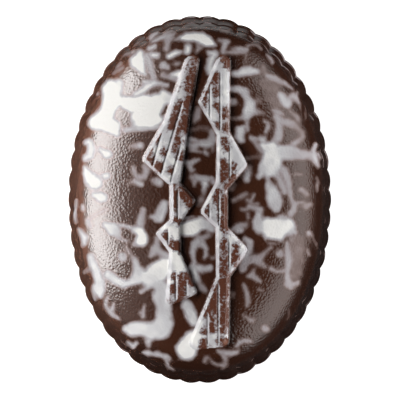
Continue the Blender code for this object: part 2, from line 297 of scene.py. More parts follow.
    (0.4, (6.3, -6.8, 0.45), (6.8, -7.1, 0.4), (7.1, -7.3, 0.2)),
    (0.48, (5.9, -7.6, 0.2), (5.7, -8.2, 0.35), (5.3, -8.3, 0.25)),
    (0.48, (5.7, -8.2, 0.3), (6.2, -8.7, 0.25), (6.5, -8.9, 0.15)),
    (0.48, (4.8, -9.2, 0.2), (5.0, -10.0, 0.3), (5.2, -11.0, 0.3), (5.15, -11.5, 0.22)),
    (0.25, (3.6, -10.2, 0.3), (3.6, -10.5, 0.25)),
    (0.45, (6.5, -9.8, 0.22), (6.8, -9.9, 0.12)),
    (0.4, (4.7, -12.5, 0.12), (5.2, -12.75, 0.25), (5.8, -13.1, 0.3)),
    (0.53, (7.05, -14.0, 0.4), (7.15, -14.0, 0.4)),
    # the column on the lower right, and the haze beside it
    (0.62, (9.5, -4.8, 0.3), (9.6, -5.6, 0.45), (9.6, -6.6, 0.45), (9.55, -7.6, 0.35), (9.5, -8.4, 0.3)),
    (0.55, (9.5, -8.4, 0.3), (9.6, -9.1, 0.5), (9.8, -9.5, 0.3)),
    (0.5, (10.1, -9.2, 0.3), (10.6, -9.0, 0.28), (10.7, -8.8, 0.2)),
    (0.2, (10.6, -4.6, 0.8), (10.6, -6.4, 0.8), (10.4, -8.0, 0.6)),
    (0.45, (10.2, -4.4, 0.4), (10.6, -5.0, 0.3)),
    (0.7, (10.6, -5.2, 0.25), (10.5, -5.9, 0.35)),
    (0.4, (10.2, -7.5, 0.2), (10.9, -8.0, 0.2)),
    (0.7, (11.8, -3.6, 0.25), (12.2, -4.3, 0.2), (12.5, -4.7, 0.12), (12.6, -5.1, 0.08)),
    (0.5, (11.7, -5.4, 0.18), (11.9, -5.9, 0.15)),
    (0.48, (8.55, -5.8, 0.42), (8.7, -5.8, 0.42)),
    (0.5, (7.7, -7.5, 0.25), (8.3, -7.7, 0.2), (9.0, -7.6, 0.15)),
    # painted highlight: a faint glint near the rim, drawn as a streak of white
    (0.3, (9.6, -12.0, 0.06), (9.6, -12.6, 0.06), (9.45, -13.0, 0.06)),
    # the bottom, with the round drop at its middle
    (0.92, (-0.9, -14.9, 0.8), (-1.45, -16.15, 1.28)),
    (0.55, (3.9, -15.9, 0.2), (4.3, -15.5, 0.25), (4.9, -15.3, 0.28), (5.6, -15.4, 0.18)),
    (0.6, (2.0, -16.4, 0.15), (2.6, -16.55, 0.3), (3.4, -16.6, 0.28), (4.1, -16.45, 0.22)),
    (0.52, (2.3, -16.7, 0.2), (2.75, -17.2, 0.33)),
    (0.3, (2.75, -17.6, 0.25), (2.75, -17.8, 0.3), (2.4, -18.3, 0.12)),
    (0.5, (2.5, -17.9, 0.2), (1.8, -17.8, 0.18), (1.3, -17.5, 0.15), (1.1, -17.2, 0.12), (0.8, -17.1, 0.15)),
    (0.5, (0.8, -17.1, 0.15), (0.5, -17.45, 0.15), (0.7, -17.6, 0.1)),
    # between the strands, from the top down
    (0.4, (-0.2, 9.6, 0.4), (-0.3, 9.0, 0.5), (-0.5, 8.5, 0.3)),
    (0.3, (-0.8, 7.5, 0.3), (0.0, 7.75, 0.25), (0.8, 7.7, 0.3)),
    (0.55, (1.2, 7.4, 0.3), (1.3, 7.2, 0.35), (1.35, 6.6, 0.4)),
    (0.68, (1.35, 6.6, 0.4), (1.0, 6.2, 0.35), (0.3, 6.2, 0.25), (-0.5, 6.4, 0.25), (-1.0, 6.5, 0.25)),
    (0.5, (-1.3, 6.0, 0.3), (-0.8, 5.7, 0.4)),
    (0.84, (-0.4, 5.8, 0.32), (0.0, 5.9, 0.34), (0.8, 5.9, 0.34), (1.2, 6.0, 0.3)),
    (0.5, (-0.9, 5.3, 0.25), (-0.2, 5.1, 0.15), (0.4, 5.2, 0.3), (0.8, 4.9, 0.25)),
    (0.3, (1.5, 5.5, 0.2), (1.5, 5.3, 0.2)),
    (0.65, (-1.5, 4.0, 0.25), (-1.0, 3.9, 0.35), (-0.5, 4.1, 0.3), (-0.1, 4.2, 0.15)),
    (0.65, (-1.0, 3.5, 0.3), (-0.8, 3.1, 0.2), (-0.5, 3.2, 0.12)),
    (0.45, (-0.9, 2.4, 0.3), (-0.5, 2.4, 0.3)),
    (0.62, (-0.4, 2.4, 0.3), (0.4, 2.2, 0.35), (1.2, 2.3, 0.25), (1.5, 1.9, 0.25)),
    (0.6, (-0.6, 2.0, 0.25), (-0.5, 1.6, 0.2)),
    (0.88, (0.5, 1.7, 0.4), (0.6, 1.2, 0.35)),
    (0.4, (0.55, 0.9, 0.3), (0.5, 0.5, 0.3), (0.3, 0.0, 0.3)),
    (0.3, (0.2, 0.1, 0.3), (0.0, -0.6, 0.28)),
    (0.95, (-1.55, -3.0, 1.0), (-0.8, -2.95, 1.05), (0.0, -2.75, 0.85)),
    (0.75, (0.2, -2.75, 0.75), (0.7, -2.8, 0.6), (1.3, -3.2, 0.45)),
    (0.45, (0.9, -3.9, 0.35), (0.5, -4.1, 0.3), (0.1, -4.35, 0.4)),
    (0.7, (0.0, -4.4, 0.45), (-0.5, -4.9, 0.45), (-0.65, -5.7, 0.35)),
    (0.7, (-0.65, -5.7, 0.35), (-0.6, -6.5, 0.3), (-0.7, -7.2, 0.3)),
    (0.85, (-0.7, -7.2, 0.3), (-0.5, -7.9, 0.4), (-0.35, -8.6, 0.4)),
    (0.42, (-0.1, -9.0, 0.35), (0.2, -9.5, 0.4), (0.6, -9.9, 0.3)),
    (0.65, (0.3, -4.9, 0.35), (0.75, -5.4, 0.25), (0.7, -6.0, 0.25), (0.5, -6.4, 0.12)),
    (0.7, (-0.9, -7.3, 0.3), (0.0, -7.4, 0.4)),
    (0.7, (0.2, -7.4, 0.4), (0.6, -7.4, 0.4), (1.1, -7.4, 0.35)),
    (0.35, (1.4, -6.3, 0.25), (1.5, -6.3, 0.25)),
    (0.68, (-1.6, -11.7, 0.45), (-1.2, -11.6, 0.5)),
    (0.82, (-1.5, -11.2, 0.45), (-0.95, -12.4, 0.72), (-0.65, -13.2, 0.5)),
    # the left side, from the sheet down to the level of the waists
    (0.9, (-12.3, 6.2, 0.25), (-11.9, 6.25, 0.35), (-11.7, 5.5, 0.45), (-11.8, 4.8, 0.45), (-12.3, 4.5, 0.4)),
    (0.95, (-10.7, 5.4, 0.3), (-10.0, 4.9, 0.55)),
    (1.0, (-12.35, 3.4, 0.2), (-12.1, 2.8, 0.5), (-11.7, 2.2, 0.75), (-11.3, 1.8, 0.75)),
    (0.95, (-11.4, 0.5, 0.35), (-10.7, 0.25, 0.65), (-10.3, 0.2, 0.5)),
    (0.97, (-10.3, 2.5, 0.38), (-10.0, 2.55, 0.38)),
    (0.75, (-6.45, 5.75, 0.33), (-6.4, 5.75, 0.33)),
    (0.35, (-7.3, 5.7, 0.3), (-6.9, 5.7, 0.3)),
    (0.47, (-7.1, 3.4, 0.28), (-6.95, 2.6, 0.35), (-6.6, 2.3, 0.35), (-5.9, 2.4, 0.4), (-5.7, 2.9, 0.4)),
    (0.65, (-5.7, 2.9, 0.4), (-6.0, 3.5, 0.28)),
    (0.5, (-4.9, 1.9, 0.35), (-4.6, 1.85, 0.36)),
    (0.75, (-4.5, 1.8, 0.38), (-4.3, 1.8, 0.38)),
    (0.02, (-9.1, -0.9, 0.35), (-9.2, 0.2, 0.45), (-8.9, 1.1, 0.4), (-8.0, 1.75, 0.3)),
    (0.3, (-7.6, 1.8, 0.25), (-7.0, 1.9, 0.3)),
    (0.85, (-7.0, 1.9, 0.3), (-6.3, 1.6, 0.25)),
    (0.68, (-6.5, -2.6, 0.33), (-6.4, -1.9, 0.28)),
    (0.6, (-11.7, -2.0, 0.15), (-10.8, -1.5, 0.2), (-10.0, -1.1, 0.2)),
    (0.9, (-13.3, -0.2, 0.1), (-13.45, -1.4, 0.12), (-13.4, -2.4, 0.1)),
    (0.9, (-12.65, -0.7, 0.13), (-12.6, -1.1, 0.13)),
    (0.7, (-12.1, -2.3, 0.3), (-11.8, -2.9, 0.2)),
    (0.85, (-13.1, -3.2, 0.12), (-12.8, -3.6, 0.3), (-12.5, -4.0, 0.42), (-12.45, -4.7, 0.3),
     (-12.6, -5.0, 0.15)),
    (0.9, (-10.2, -2.8, 0.4), (-9.5, -3.2, 0.75)),
    (0.7, (-9.3, -3.3, 0.6), (-8.8, -3.8, 0.55)),
    (0.6, (-8.5, -4.2, 0.3), (-7.6, -4.6, 0.25), (-7.1, -4.9, 0.2)),
    (0.8, (-8.6, -2.85, 0.25), (-7.4, -3.05, 0.2), (-6.8, -3.2, 0.4)),
    (1.0, (-6.6, -3.4, 0.65), (-6.3, -4.3, 0.85)),
    (0.7, (-3.8, -0.4, 0.38), (-4.1, -1.2, 0.5), (-4.5, -1.9, 0.5), (-5.1, -1.8, 0.25)),
    (0.55, (-4.6, -4.3, 0.35), (-4.7, -5.0, 0.5), (-5.0, -5.7, 0.5), (-5.2, -6.1, 0.3)),
    # the narrow drop on the lower left
    (0.85, (-11.7, -6.3, 0.4), (-11.4, -7.2, 0.5), (-11.1, -8.0, 0.5), (-10.8, -8.9, 0.6),
     (-10.9, -9.7, 0.72)),
    (0.85, (-10.9, -9.7, 0.72), (-10.8, -10.3, 0.35)),
    (0.6, (-12.0, -7.7, 0.15), (-12.6, -8.0, 0.1)),
    (0.8, (-11.5, -10.0, 0.12), (-11.4, -10.8, 0.12)),
    # the wide sheet on the lower left, and its lobes
    (0.85, (-9.9, -8.1, 0.5), (-9.0, -8.8, 0.45), (-8.2, -9.15, 0.5), (-7.4, -8.9, 0.5), (-6.6, -8.4, 0.8)),
    (0.86, (-6.6, -8.4, 0.8), (-5.4, -8.4, 1.1), (-4.4, -7.8, 1.1)),
    (0.95, (-4.4, -7.8, 1.1), (-3.7, -7.0, 0.8)),
    (0.72, (-7.0, -6.5, 0.3), (-6.8, -7.3, 0.45), (-6.5, -8.0, 0.7)),
    (0.76, (-4.3, -9.5, 0.9), (-4.2, -10.4, 0.9), (-3.9, -11.4, 0.85), (-3.9, -12.4, 0.85)),
    (0.8, (-3.9, -12.4, 0.85), (-4.4, -13.6, 0.9)),
    (0.8, (-6.3, -10.0, 0.2), (-5.9, -9.7, 0.25), (-5.2, -9.3, 0.5)),
    (0.68, (-8.4, -6.25, 0.48), (-8.3, -6.25, 0.48)),
    (0.4, (-7.9, -5.2, 0.2), (-7.4, -5.9, 0.25), (-7.2, -6.3, 0.3)),
    (0.7, (-9.9, -10.5, 0.14), (-10.15, -11.0, 0.2), (-10.2, -11.6, 0.2), (-9.9, -12.1, 0.22),
     (-9.4, -12.5, 0.22)),
    (0.7, (-9.4, -12.5, 0.22), (-8.9, -12.8, 0.2), (-8.7, -12.95, 0.1)),
    (0.7, (-9.3, -11.3, 0.14), (-9.4, -11.7, 0.22), (-9.6, -12.0, 0.2)),
    (0.6, (-6.0, -11.4, 0.12), (-6.1, -12.0, 0.25), (-6.1, -12.6, 0.22)),
    (0.5, (-6.5, -12.2, 0.15), (-6.3, -12.2, 0.15)),
    # the wide drop under it
    (0.84, (-8.0, -14.0, 0.42), (-7.3, -14.05, 0.75), (-6.3, -13.9, 0.8), (-5.2, -14.2, 0.95),
     (-4.2, -14.0, 0.95)),
    (0.8, (-4.2, -14.0, 0.95), (-3.4, -13.6, 0.85)),
    (0.72, (-5.6, -15.2, 0.35), (-5.55, -15.7, 0.2)),
    (0.8, (-7.7, -15.5, 0.18), (-7.25, -15.8, 0.3), (-6.95, -15.5, 0.22)),
    (0.85, (-6.0, -16.5, 0.15), (-5.5, -16.6, 0.33), (-4.9, -16.55, 0.35), (-4.3, -16.8, 0.25),
     (-3.7, -17.1, 0.25)),
    (0.7, (-3.7, -17.1, 0.25), (-3.2, -17.2, 0.25), (-2.9, -17.4, 0.15), (-2.4, -17.3, 0.06)),
    (0.65, (-3.6, -17.6, 0.2), (-3.4, -18.1, 0.15), (-2.9, -18.4, 0.06)),
    # painted highlights: thin glints on the upper wall's flutes on the upper left, drawn as streaks of white
    (0.7, (-11.8, 11.2, 0.08), (-11.1, 11.5, 0.1)),
    (0.7, (-9.3, 13.7, 0.07), (-8.3, 14.3, 0.08)),
    (0.7, (-9.0, 14.4, 0.07), (-8.5, 14.8, 0.08)),
    (0.7, (-8.6, 15.6, 0.06), (-7.1, 16.1, 0.1)),
    (0.7, (-7.3, 16.7, 0.06), (-6.0, 17.6, 0.1)),
)

# Places where the dark chocolate shows through the splashes
DOME_DARKS = (
    ((-2.25, -12.3, 0.42), (-2.4, -13.8, 0.5), (-3.0, -15.3, 0.5), (-4.3, -15.8, 0.4), (-5.1, -16.2, 0.3)),
    ((-2.7, -17.3, 0.4), (-3.2, -16.3, 0.5)),
    ((11.2, 8.2, 0.28), (11.15, 9.7, 0.28), (11.0, 11.2, 0.22)),
    ((7.3, -4.45, 0.2), (8.5, -4.65, 0.2)),
    ((-0.3, -1.9, 0.15), (-1.9, -2.4, 0.15)),
    ((-5.6, -5.9, 0.15), (-4.95, -4.3, 0.15)),
    ((-7.5, -4.8, 0.25), (-7.05, -3.9, 0.25)),
    ((12.6, -5.2, 0.2), (12.0, -4.1, 0.2)),
    ((-8.6, 9.85, 0.15), (-8.6, 9.3, 0.4), (-8.1, 8.5, 0.4), (-7.9, 7.7, 0.5)),
    ((-12.7, 7.0, 0.25), (-12.0, 7.1, 0.3), (-11.4, 7.4, 0.12)),
    ((-5.8, 11.9, 0.12), (-5.2, 11.75, 0.3), (-4.5, 11.7, 0.3), (-4.2, 11.9, 0.15)),
    ((-4.05, 9.2, 0.2), (-3.6, 9.9, 0.22)),
    ((-12.7, 5.3, 0.12), (-12.35, 5.65, 0.15)),
    ((-6.6, 3.8, 0.15), (-6.3, 3.0, 0.15)),
    ((-5.1, 2.55, 0.25), (-5.1, 2.65, 0.25)),
    ((-8.1, -3.9, 0.38), (-7.5, -3.9, 0.2)),
    ((-6.0, -6.7, 0.3), (-5.9, -7.5, 0.08)),
    ((-7.9, -9.9, 0.3), (-7.2, -9.6, 0.3), (-6.3, -9.2, 0.15)),
    ((-5.6, -10.1, 0.2), (-5.0, -9.75, 0.12)),
    ((-5.3, -11.3, 0.4), (-5.25, -12.7, 0.42)),
    ((0.35, 15.6, 0.35), (0.35, 15.7, 0.35)),
    ((3.3, 11.3, 0.3), (4.0, 11.2, 0.3), (4.5, 10.7, 0.28), (4.6, 10.1, 0.28), (4.3, 9.4, 0.3),
     (3.6, 9.1, 0.3)),
    ((5.8, 11.3, 0.33), (5.9, 11.3, 0.33)),
    ((6.6, 10.1, 0.33), (6.7, 10.1, 0.33)),
    ((9.5, 11.3, 0.12), (9.5, 11.7, 0.15)),
    ((6.0, 8.6, 0.5), (6.3, 8.0, 0.6), (6.1, 7.3, 0.55)),
    ((7.8, 8.4, 0.18), (7.9, 7.8, 0.15), (7.6, 7.0, 0.25), (7.5, 6.5, 0.22)),
    ((9.8, 7.1, 0.5), (9.9, 7.1, 0.5)),
    ((3.7, 8.15, 0.2), (4.5, 8.3, 0.12)),
    ((5.0, 5.5, 0.5), (5.6, 5.3, 0.75), (6.2, 4.9, 0.4), (5.6, 4.3, 0.3)),
    ((7.8, 2.3, 0.12), (8.1, 1.9, 0.2), (8.2, 1.7, 0.15)),
    ((8.6, 1.7, 0.2), (8.8, 1.3, 0.22), (8.9, 0.9, 0.15)),
    ((9.1, 0.2, 0.12), (9.4, -0.4, 0.4), (9.2, -1.0, 0.35), (8.6, -1.45, 0.2), (7.9, -1.55, 0.18),
     (7.3, -1.2, 0.28)),
    ((-0.6, 7.0, 0.18), (0.0, 6.8, 0.35), (0.6, 6.9, 0.25)),
    ((-0.1, 5.6, 0.1), (0.2, 5.35, 0.1)),
    ((-0.1, 1.5, 0.28), (-0.05, 1.4, 0.28)),
    ((0.95, 1.2, 0.2), (0.85, 0.4, 0.2)),
    ((0.35, -3.55, 0.18), (0.65, -3.45, 0.1)),
    ((0.1, -5.6, 0.28), (-0.1, -6.3, 0.28), (0.4, -6.75, 0.2)),
    ((2.0, -17.3, 0.28), (1.9, -17.2, 0.28)),
)

# Smaller splashes of white on those dark places
DOME_ISLANDS = (
    (0.5, (3.55, 10.5, 0.42), (3.65, 10.5, 0.42)),
    (0.6, (7.0, 8.5, 0.15), (7.3, 8.3, 0.15), (7.4, 7.8, 0.25), (7.2, 7.3, 0.2)),
    (0.3, (5.2, 4.4, 0.25), (6.4, 4.7, 0.25)),
    (0.85, (-3.9, -0.5, 0.3), (-3.95, -1.3, 0.4), (-4.2, -2.1, 0.4)),
    (0.6, (-5.0, 13.2, 0.35), (-5.3, 14.4, 0.4), (-5.7, 15.5, 0.35)),
    (0.55, (5.4, -0.8, 0.35), (6.6, -1.1, 0.32)),
    (0.55, (8.6, -1.9, 0.3), (9.2, -2.0, 0.3)),
    (0.55, (-6.3, -2.5, 0.4), (-6.1, -1.1, 0.35)),
    (0.9, (-4.9, 12.5, 0.35), (-5.9, 12.0, 0.45), (-6.9, 11.4, 0.35)),
    (0.75, (-4.6, 7.8, 0.3), (-6.2, 7.6, 0.3), (-8.0, 7.5, 0.3)),
    (0.65, (-3.6, -6.1, 0.4), (-4.7, -5.4, 0.45)),
    (0.58, (9.2, 0.9, 0.35), (8.8, 1.9, 0.4), (8.3, 3.0, 0.35)),
    (0.5, (-3.6, 16.4, 0.4), (-3.45, 17.7, 0.35)),
    (0.42, (3.0, 15.9, 0.3), (4.8, 15.9, 0.3)),
    (0.5, (-2.6, 12.95, 0.3), (-4.0, 13.5, 0.3)),
    (0.45, (6.6, 5.2, 0.3), (5.85, 6.5, 0.3)),
)

# The strands are white with thinner and darker spots. These parts of them are thickest.
STRAND_WHITES = (
    (1.0, (-2.3, -5.9, 0.6), (-2.2, -7.2, 0.9), (-2.3, -8.0, 0.7)),
    (0.95, (-2.0, -1.6, 0.4), (-2.1, -3.6, 0.5)),
    (0.95, (-3.2, 3.2, 0.4), (-4.3, 4.4, 0.6), (-5.3, 5.7, 0.4)),
    (1.0, (3.3, 6.0, 0.3), (3.8, 3.0, 0.35)),
    (1.0, (0.0, -15.9, 0.3), (0.2, -15.1, 0.3)),
    (1.0, (-1.7, 14.4, 0.15), (-1.95, 13.3, 0.25), (-2.2, 12.4, 0.25), (-2.4, 11.5, 0.3), (-2.8, 10.5, 0.25)),
    (1.0, (-5.4, 5.4, 0.5), (-4.2, 5.4, 0.4), (-3.2, 4.2, 0.6), (-2.3, 3.4, 0.5), (-3.3, 2.4, 0.6)),
    (0.95, (-1.7, 6.6, 0.25), (-1.8, 4.0, 0.3)),
    (1.0, (-3.9, -3.0, 0.7), (-2.7, -3.4, 0.7), (-2.7, -6.6, 0.8), (-2.0, -7.2, 0.7), (-3.1, -9.2, 0.4)),
    (0.9, (-1.5, -1.1, 0.5), (-2.0, -1.6, 0.3)),
    (1.0, (2.75, 14.0, 0.5), (2.75, 10.6, 0.5)),
    (0.9, (1.6, 14.6, 0.3), (1.7, 14.0, 0.3)),
    (1.0, (0.8, 9.2, 0.5), (1.6, 8.7, 0.5)),
    (0.8, (2.2, 7.1, 0.4), (3.6, 6.0, 0.6), (4.1, 5.0, 0.7), (4.4, 4.2, 0.7)),
    (0.95, (2.2, 5.4, 0.5), (2.4, 4.9, 0.5)),
    (1.0, (4.6, -5.0, 0.6), (3.6, -4.0, 0.4), (3.6, -7.4, 0.3)),
    (1.0, (0.2, -13.3, 0.4), (-0.6, -15.0, 0.9), (-0.2, -15.6, 0.6)),
    (1.0, (2.5, -14.65, 0.45), (2.6, -14.65, 0.45)),
)

# Dark spots on the strands
STRAND_DARKS = (
    # left strand: tip and upper ribs
    ((-1.2, 15.3, 0.2), (-0.85, 15.42, 0.35), (-0.5, 15.3, 0.2)),
    ((-0.8, 14.9, 0.1), (-0.75, 14.0, 0.22), (-0.85, 13.3, 0.32), (-1.05, 12.6, 0.34), (-1.2, 11.9, 0.34)),
    ((-1.2, 10.9, 0.26), (-1.6, 10.3, 0.26)),
    ((-2.1, 10.4, 0.15), (-2.5, 9.4, 0.3), (-2.75, 8.5, 0.3), (-3.15, 7.8, 0.2)),
    ((-5.9, 3.6, 0.15), (-5.6, 5.2, 0.25), (-5.1, 6.8, 0.15)),
    ((-1.7, 9.5, 0.28), (-1.6, 8.7, 0.28)),
    ((-2.2, 8.0, 0.2), (-2.35, 7.3, 0.3), (-2.4, 6.3, 0.3)),
    ((-1.7, 7.9, 0.25), (-1.75, 7.7, 0.2)),
    ((-2.6, 5.6, 0.2), (-2.7, 5.3, 0.18)),
    ((-3.8, 5.2, 0.16), (-3.85, 5.0, 0.14)),
    ((-4.35, 7.1, 0.1), (-4.6, 6.3, 0.12)),
    ((-5.25, 4.2, 0.28), (-5.0, 3.75, 0.22)),
    ((-4.3, 3.85, 0.15), (-4.4, 3.3, 0.38), (-4.6, 3.0, 0.25)),
    ((-3.1, 3.1, 0.14), (-3.0, 3.2, 0.1)),
    ((-2.15, 4.9, 0.15), (-2.2, 4.4, 0.15)),
    # left strand: stem, leaves and fan
    ((-2.7, 1.3, 0.2), (-2.7, 0.0, 0.2), (-2.7, -1.0, 0.15)),
    ((-2.05, 1.2, 0.2), (-1.75, 0.6, 0.4), (-1.35, 0.1, 0.42), (-1.05, -0.35, 0.3)),
    ((-2.9, -2.0, 0.18), (-2.6, -2.25, 0.2), (-2.3, -2.4, 0.12)),
    ((-3.75, -3.8, 0.2), (-3.78, -4.05, 0.18)),
    ((-3.0, -4.75, 0.35), (-2.6, -5.05, 0.4), (-2.35, -5.2, 0.28)),
    ((-2.95, -8.3, 0.2), (-2.75, -8.4, 0.15)),
    ((-1.8, -8.2, 0.3), (-1.4, -8.2, 0.22)),
    ((-1.9, -8.6, 0.35), (-1.95, -9.4, 0.38), (-2.0, -10.2, 0.32), (-2.25, -10.8, 0.2)),
    ((-3.1, -9.5, 0.2), (-3.0, -9.9, 0.28)),
    ((-3.5, -10.9, 0.2), (-3.45, -11.0, 0.18)),
    ((-1.3, -8.4, 0.22), (-0.9, -9.1, 0.15)),
    ((-1.7, 15.0, 0.3), (-1.8, 14.4, 0.25)),
    ((-2.6, 12.4, 0.25), (-2.8, 11.8, 0.25)),
    # right strand: tip and upper leaves
    ((2.1, 15.25, 0.3), (2.5, 15.25, 0.35), (2.9, 15.1, 0.25), (2.9, 14.5, 0.12)),
    ((1.75, 13.4, 0.25), (1.6, 12.7, 0.28)),
    ((1.75, 11.8, 0.2), (1.75, 11.3, 0.2)),
    ((1.8, 10.1, 0.2), (1.9, 9.8, 0.15)),
    ((0.95, 12.3, 0.15), (0.5, 11.5, 0.2), (0.1, 10.9, 0.2)),
    ((0.35, 10.7, 0.28), (0.4, 10.65, 0.28)),
    ((0.3, 9.95, 0.15), (0.35, 9.9, 0.15)),
    ((1.2, 7.95, 0.15), (1.9, 7.8, 0.22)),
    ((2.55, 9.6, 0.2), (2.65, 9.0, 0.25)),
    ((2.7, 7.9, 0.22), (2.75, 7.7, 0.2)),
    ((2.65, 6.35, 0.2), (2.85, 5.9, 0.25), (2.95, 5.5, 0.18)),
    ((2.6, 4.0, 0.2), (2.75, 3.4, 0.3), (2.75, 2.7, 0.3), (2.6, 2.2, 0.22)),
    ((2.8, 1.55, 0.15), (2.7, 1.45, 0.14)),
    ((3.6, 3.75, 0.1), (3.6, 3.3, 0.1)),
    ((3.55, 2.5, 0.17), (3.35, 2.1, 0.17)),
    # right strand: stem, lower leaves and foot
    ((1.85, 1.0, 0.2), (1.7, 0.3, 0.25), (1.75, -0.4, 0.2)),
    ((0.85, -0.75, 0.12), (0.7, -1.3, 0.22), (0.8, -1.85, 0.2)),
    ((2.5, 0.2, 0.25), (2.48, -1.0, 0.3), (2.52, -2.2, 0.33), (2.58, -3.2, 0.3)),
    ((2.7, -4.5, 0.18), (2.4, -4.85, 0.16), (2.6, -5.15, 0.2)),
    ((2.6, -6.1, 0.34), (2.5, -7.5, 0.38), (2.5, -9.0, 0.36), (2.5, -10.5, 0.34)),
    ((2.5, -10.5, 0.34), (2.45, -12.0, 0.34), (2.42, -13.2, 0.34), (2.4, -14.0, 0.26)),
    ((3.9, -5.1, 0.2), (3.8, -5.9, 0.28), (3.6, -6.7, 0.25)),
    ((1.75, -8.9, 0.12), (1.6, -9.5, 0.28), (1.45, -10.5, 0.36), (1.35, -11.5, 0.38), (1.35, -12.1, 0.33)),
    ((1.4, -12.85, 0.15), (1.55, -12.9, 0.12)),
    ((1.35, -13.6, 0.28), (1.4, -14.1, 0.25)),
    ((0.72, -11.6, 0.12), (0.5, -12.3, 0.25)),
    ((0.4, -14.2, 0.18), (0.48, -14.25, 0.16)),
    ((0.6, -15.35, 0.18), (0.45, -15.85, 0.2)),
    ((2.15, -15.35, 0.15), (2.75, -15.4, 0.15)),
)

# How the splashes flow, in mm unless it is a share
SPLASH_BLEND = 0.30  # how softly neighbouring splashes flow together
LOAD_BLEND = 0.20  # how softly their thicknesses do
SPLASH_MARGIN = 0.6  # a splash has no influence further than this from its edge
DRIFTS = ((0.08, 1.7), (0.05, 0.6))  # how far they drifted from their discs, and over what width
DRIFT_SEEDS = ((21, 22), (23, 24))  # of the drifts in x and in y
WHITE_REACH = 2.6  # over the foot: the white ran down no further
NO_SPLASH = -1.0  # how far outside a splash the bare chocolate is taken to lie
BARE_THICKNESS = 0.5  # of the white there, which matters only at a splash's edge
THICKNESS_WAVES = 0.30  # share by which the thinnest white varies. The thickest varies less

# How the white lies on the strands, with painted light and shade on their slopes, in mm unless it is a share
STRAND_EDGE = 0.02  # it starts this far inside their feet
STRAND_DEPTH = 0.42  # how far inside the white they lie where it isn't thicker or dark
STRAND_THICKNESS = 0.76  # of the white there
STRAND_UNEVENNESS = 0.12  # share of full thickness by which that varies
DARK_GROWTH = 0.13  # how far their dark spots spread past the discs
SPECKED = -0.17  # no dark spot is so deep that no pale speck shows in it
STRAND_WANDER = 0.15  # how far the edges of their spots wander
FROM_LIGHT_STEP = (0.06, -0.012)  # a short step away from the side that the strongest light comes from
SHADED_FACE_LOSS = 0.16  # painted shade: white taken off faces that look along that step
LIT_FACE_GAIN = 0.34  # painted light: white added on faces that look against it
STRAND_CRISPNESS = 1.3  # their spots have crisper edges than the dome's
SHADED_FACE_SPECKS = 0.2  # share of the specks, and of the strands' chocolate tone, that faces turned from the light lack: painted shade
TIPS = ((-0.80, 15.25, 0.45), (2.45, 15.25, 0.50), (2.75, -15.40, 0.35))  # thin and redder: x, y, radius

# --- Wear, painted shade and painted highlights -------------------------------------------------------

BRIGHT_SIDE = math.radians(168)  # the azimuth that the strongest light comes from
BRIGHT_EDGE = (1.5, 0.25)  # how sharply the side in that light ends, and how much is taken off it
SHADED_AZIMUTH = math.radians(-30)  # the azimuth, turned from the strongest light, where the painted shade is darkest
SHOULDER_FADE = (0.1, 0.4)  # mm: the wall's look, with its painted shade, starts this far over the shoulder, and grows over this

# Pale scuffs on the worn edges of the wall, which also serve as painted glints: stronger at the upper end and
# fainter on the side that is brightly lit
SCUFF_AND_GLINT_EDGES = ((0.88, 0.15), (2.95, 0.12))  # the lip and the ledge: height and half width in mm
SCUFF_AND_GLINT_PATCHES = 1.9  # how sharply they break up into patches
SCUFF_AND_GLINT_GATHERING = 0.6  # how far they gather at the upper end
SCUFF_AND_GLINT_STRENGTH = 0.38  # as a film of white
SCUFF_AND_GLINT_UPPER_END = 0.2  # and stronger by this at the upper end, where they serve most as painted glints
SCUFF_AND_GLINT_GLARE_LOSS = 0.85  # share that isn't seen on the side that is brightly lit

# Painted shade: darker on the wall and the dome's outermost part, most on the side turned from the strongest
# light, and a painted shadow in a strip along the strands' right side
OUTER_DOME_SHADE = (0.90, 0.05, 0.7)  # share of the outline where it starts, share over which it grows, strength
SHADE_MIDDLE, SHADE_SWING = 0.55, 0.45  # how dark the painted shade is halfway round, and how much more or less elsewhere
SHADOW_STEP = 0.1  # mm: for finding the faces that look to the right
SHADOW_START = 0.12  # mm: it grows over this much from a strand's foot
SHADOW_REACH = 0.75  # mm: and fades over this much: the painted shadow that the strands cast to the right, away from the strongest light

# Painted highlight: the thin rim, paler where the strongest light falls, and the plainer wall
RIM = (0.925, 0.03, 0.012)  # share of the outline where it starts, over which it grows, and its wander
WALL_PALENESS_LOSS = 0.6  # share of the rim's painted highlight that the wall lacks
WALL_GRAIN_LOSS = 0.85  # share of the dome's grain that the wall lacks

# What each point of the mesh says to the material, in the order that marbling and then wear, painted shade
# and painted highlights give it
MARKS = ("white", "thickness", "strand", "scuff_and_glint", "painted_shade", "pale", "grained")


def arc_corner(before, corner, after, reach):
    """The points of a round corner that starts and ends this far from the sharp one."""
    to_before, to_after = (before - corner).normalized(), (after - corner).normalized()
    start, end = corner + to_before * reach, corner + to_after * reach
    turn = math.pi - to_before.angle(to_after)
    weight = math.cos(turn / 2)
    points = []
    for share in np.linspace(0.0, 1.0, CORNER_POINTS):
        parts = ((1 - share) ** 2, 2 * weight * share * (1 - share), share**2)
        total = sum(parts)
        points.append((start * parts[0] + corner * parts[1] + end * parts[2]) / total)
    return points


def rounded_outline(corners):
    """A closed outline as an array of points, with its corners rounded."""
    places = [Vector(corner[:2]) for corner in corners]
    points = []
    for index, (_, _, rounding) in enumerate(corners):
        before, after = places[index - 1], places[(index + 1) % len(places)]
        if rounding:
            points += arc_corner(before, places[index], after, rounding)
        else:
            points.append(places[index])
    return np.array(points)


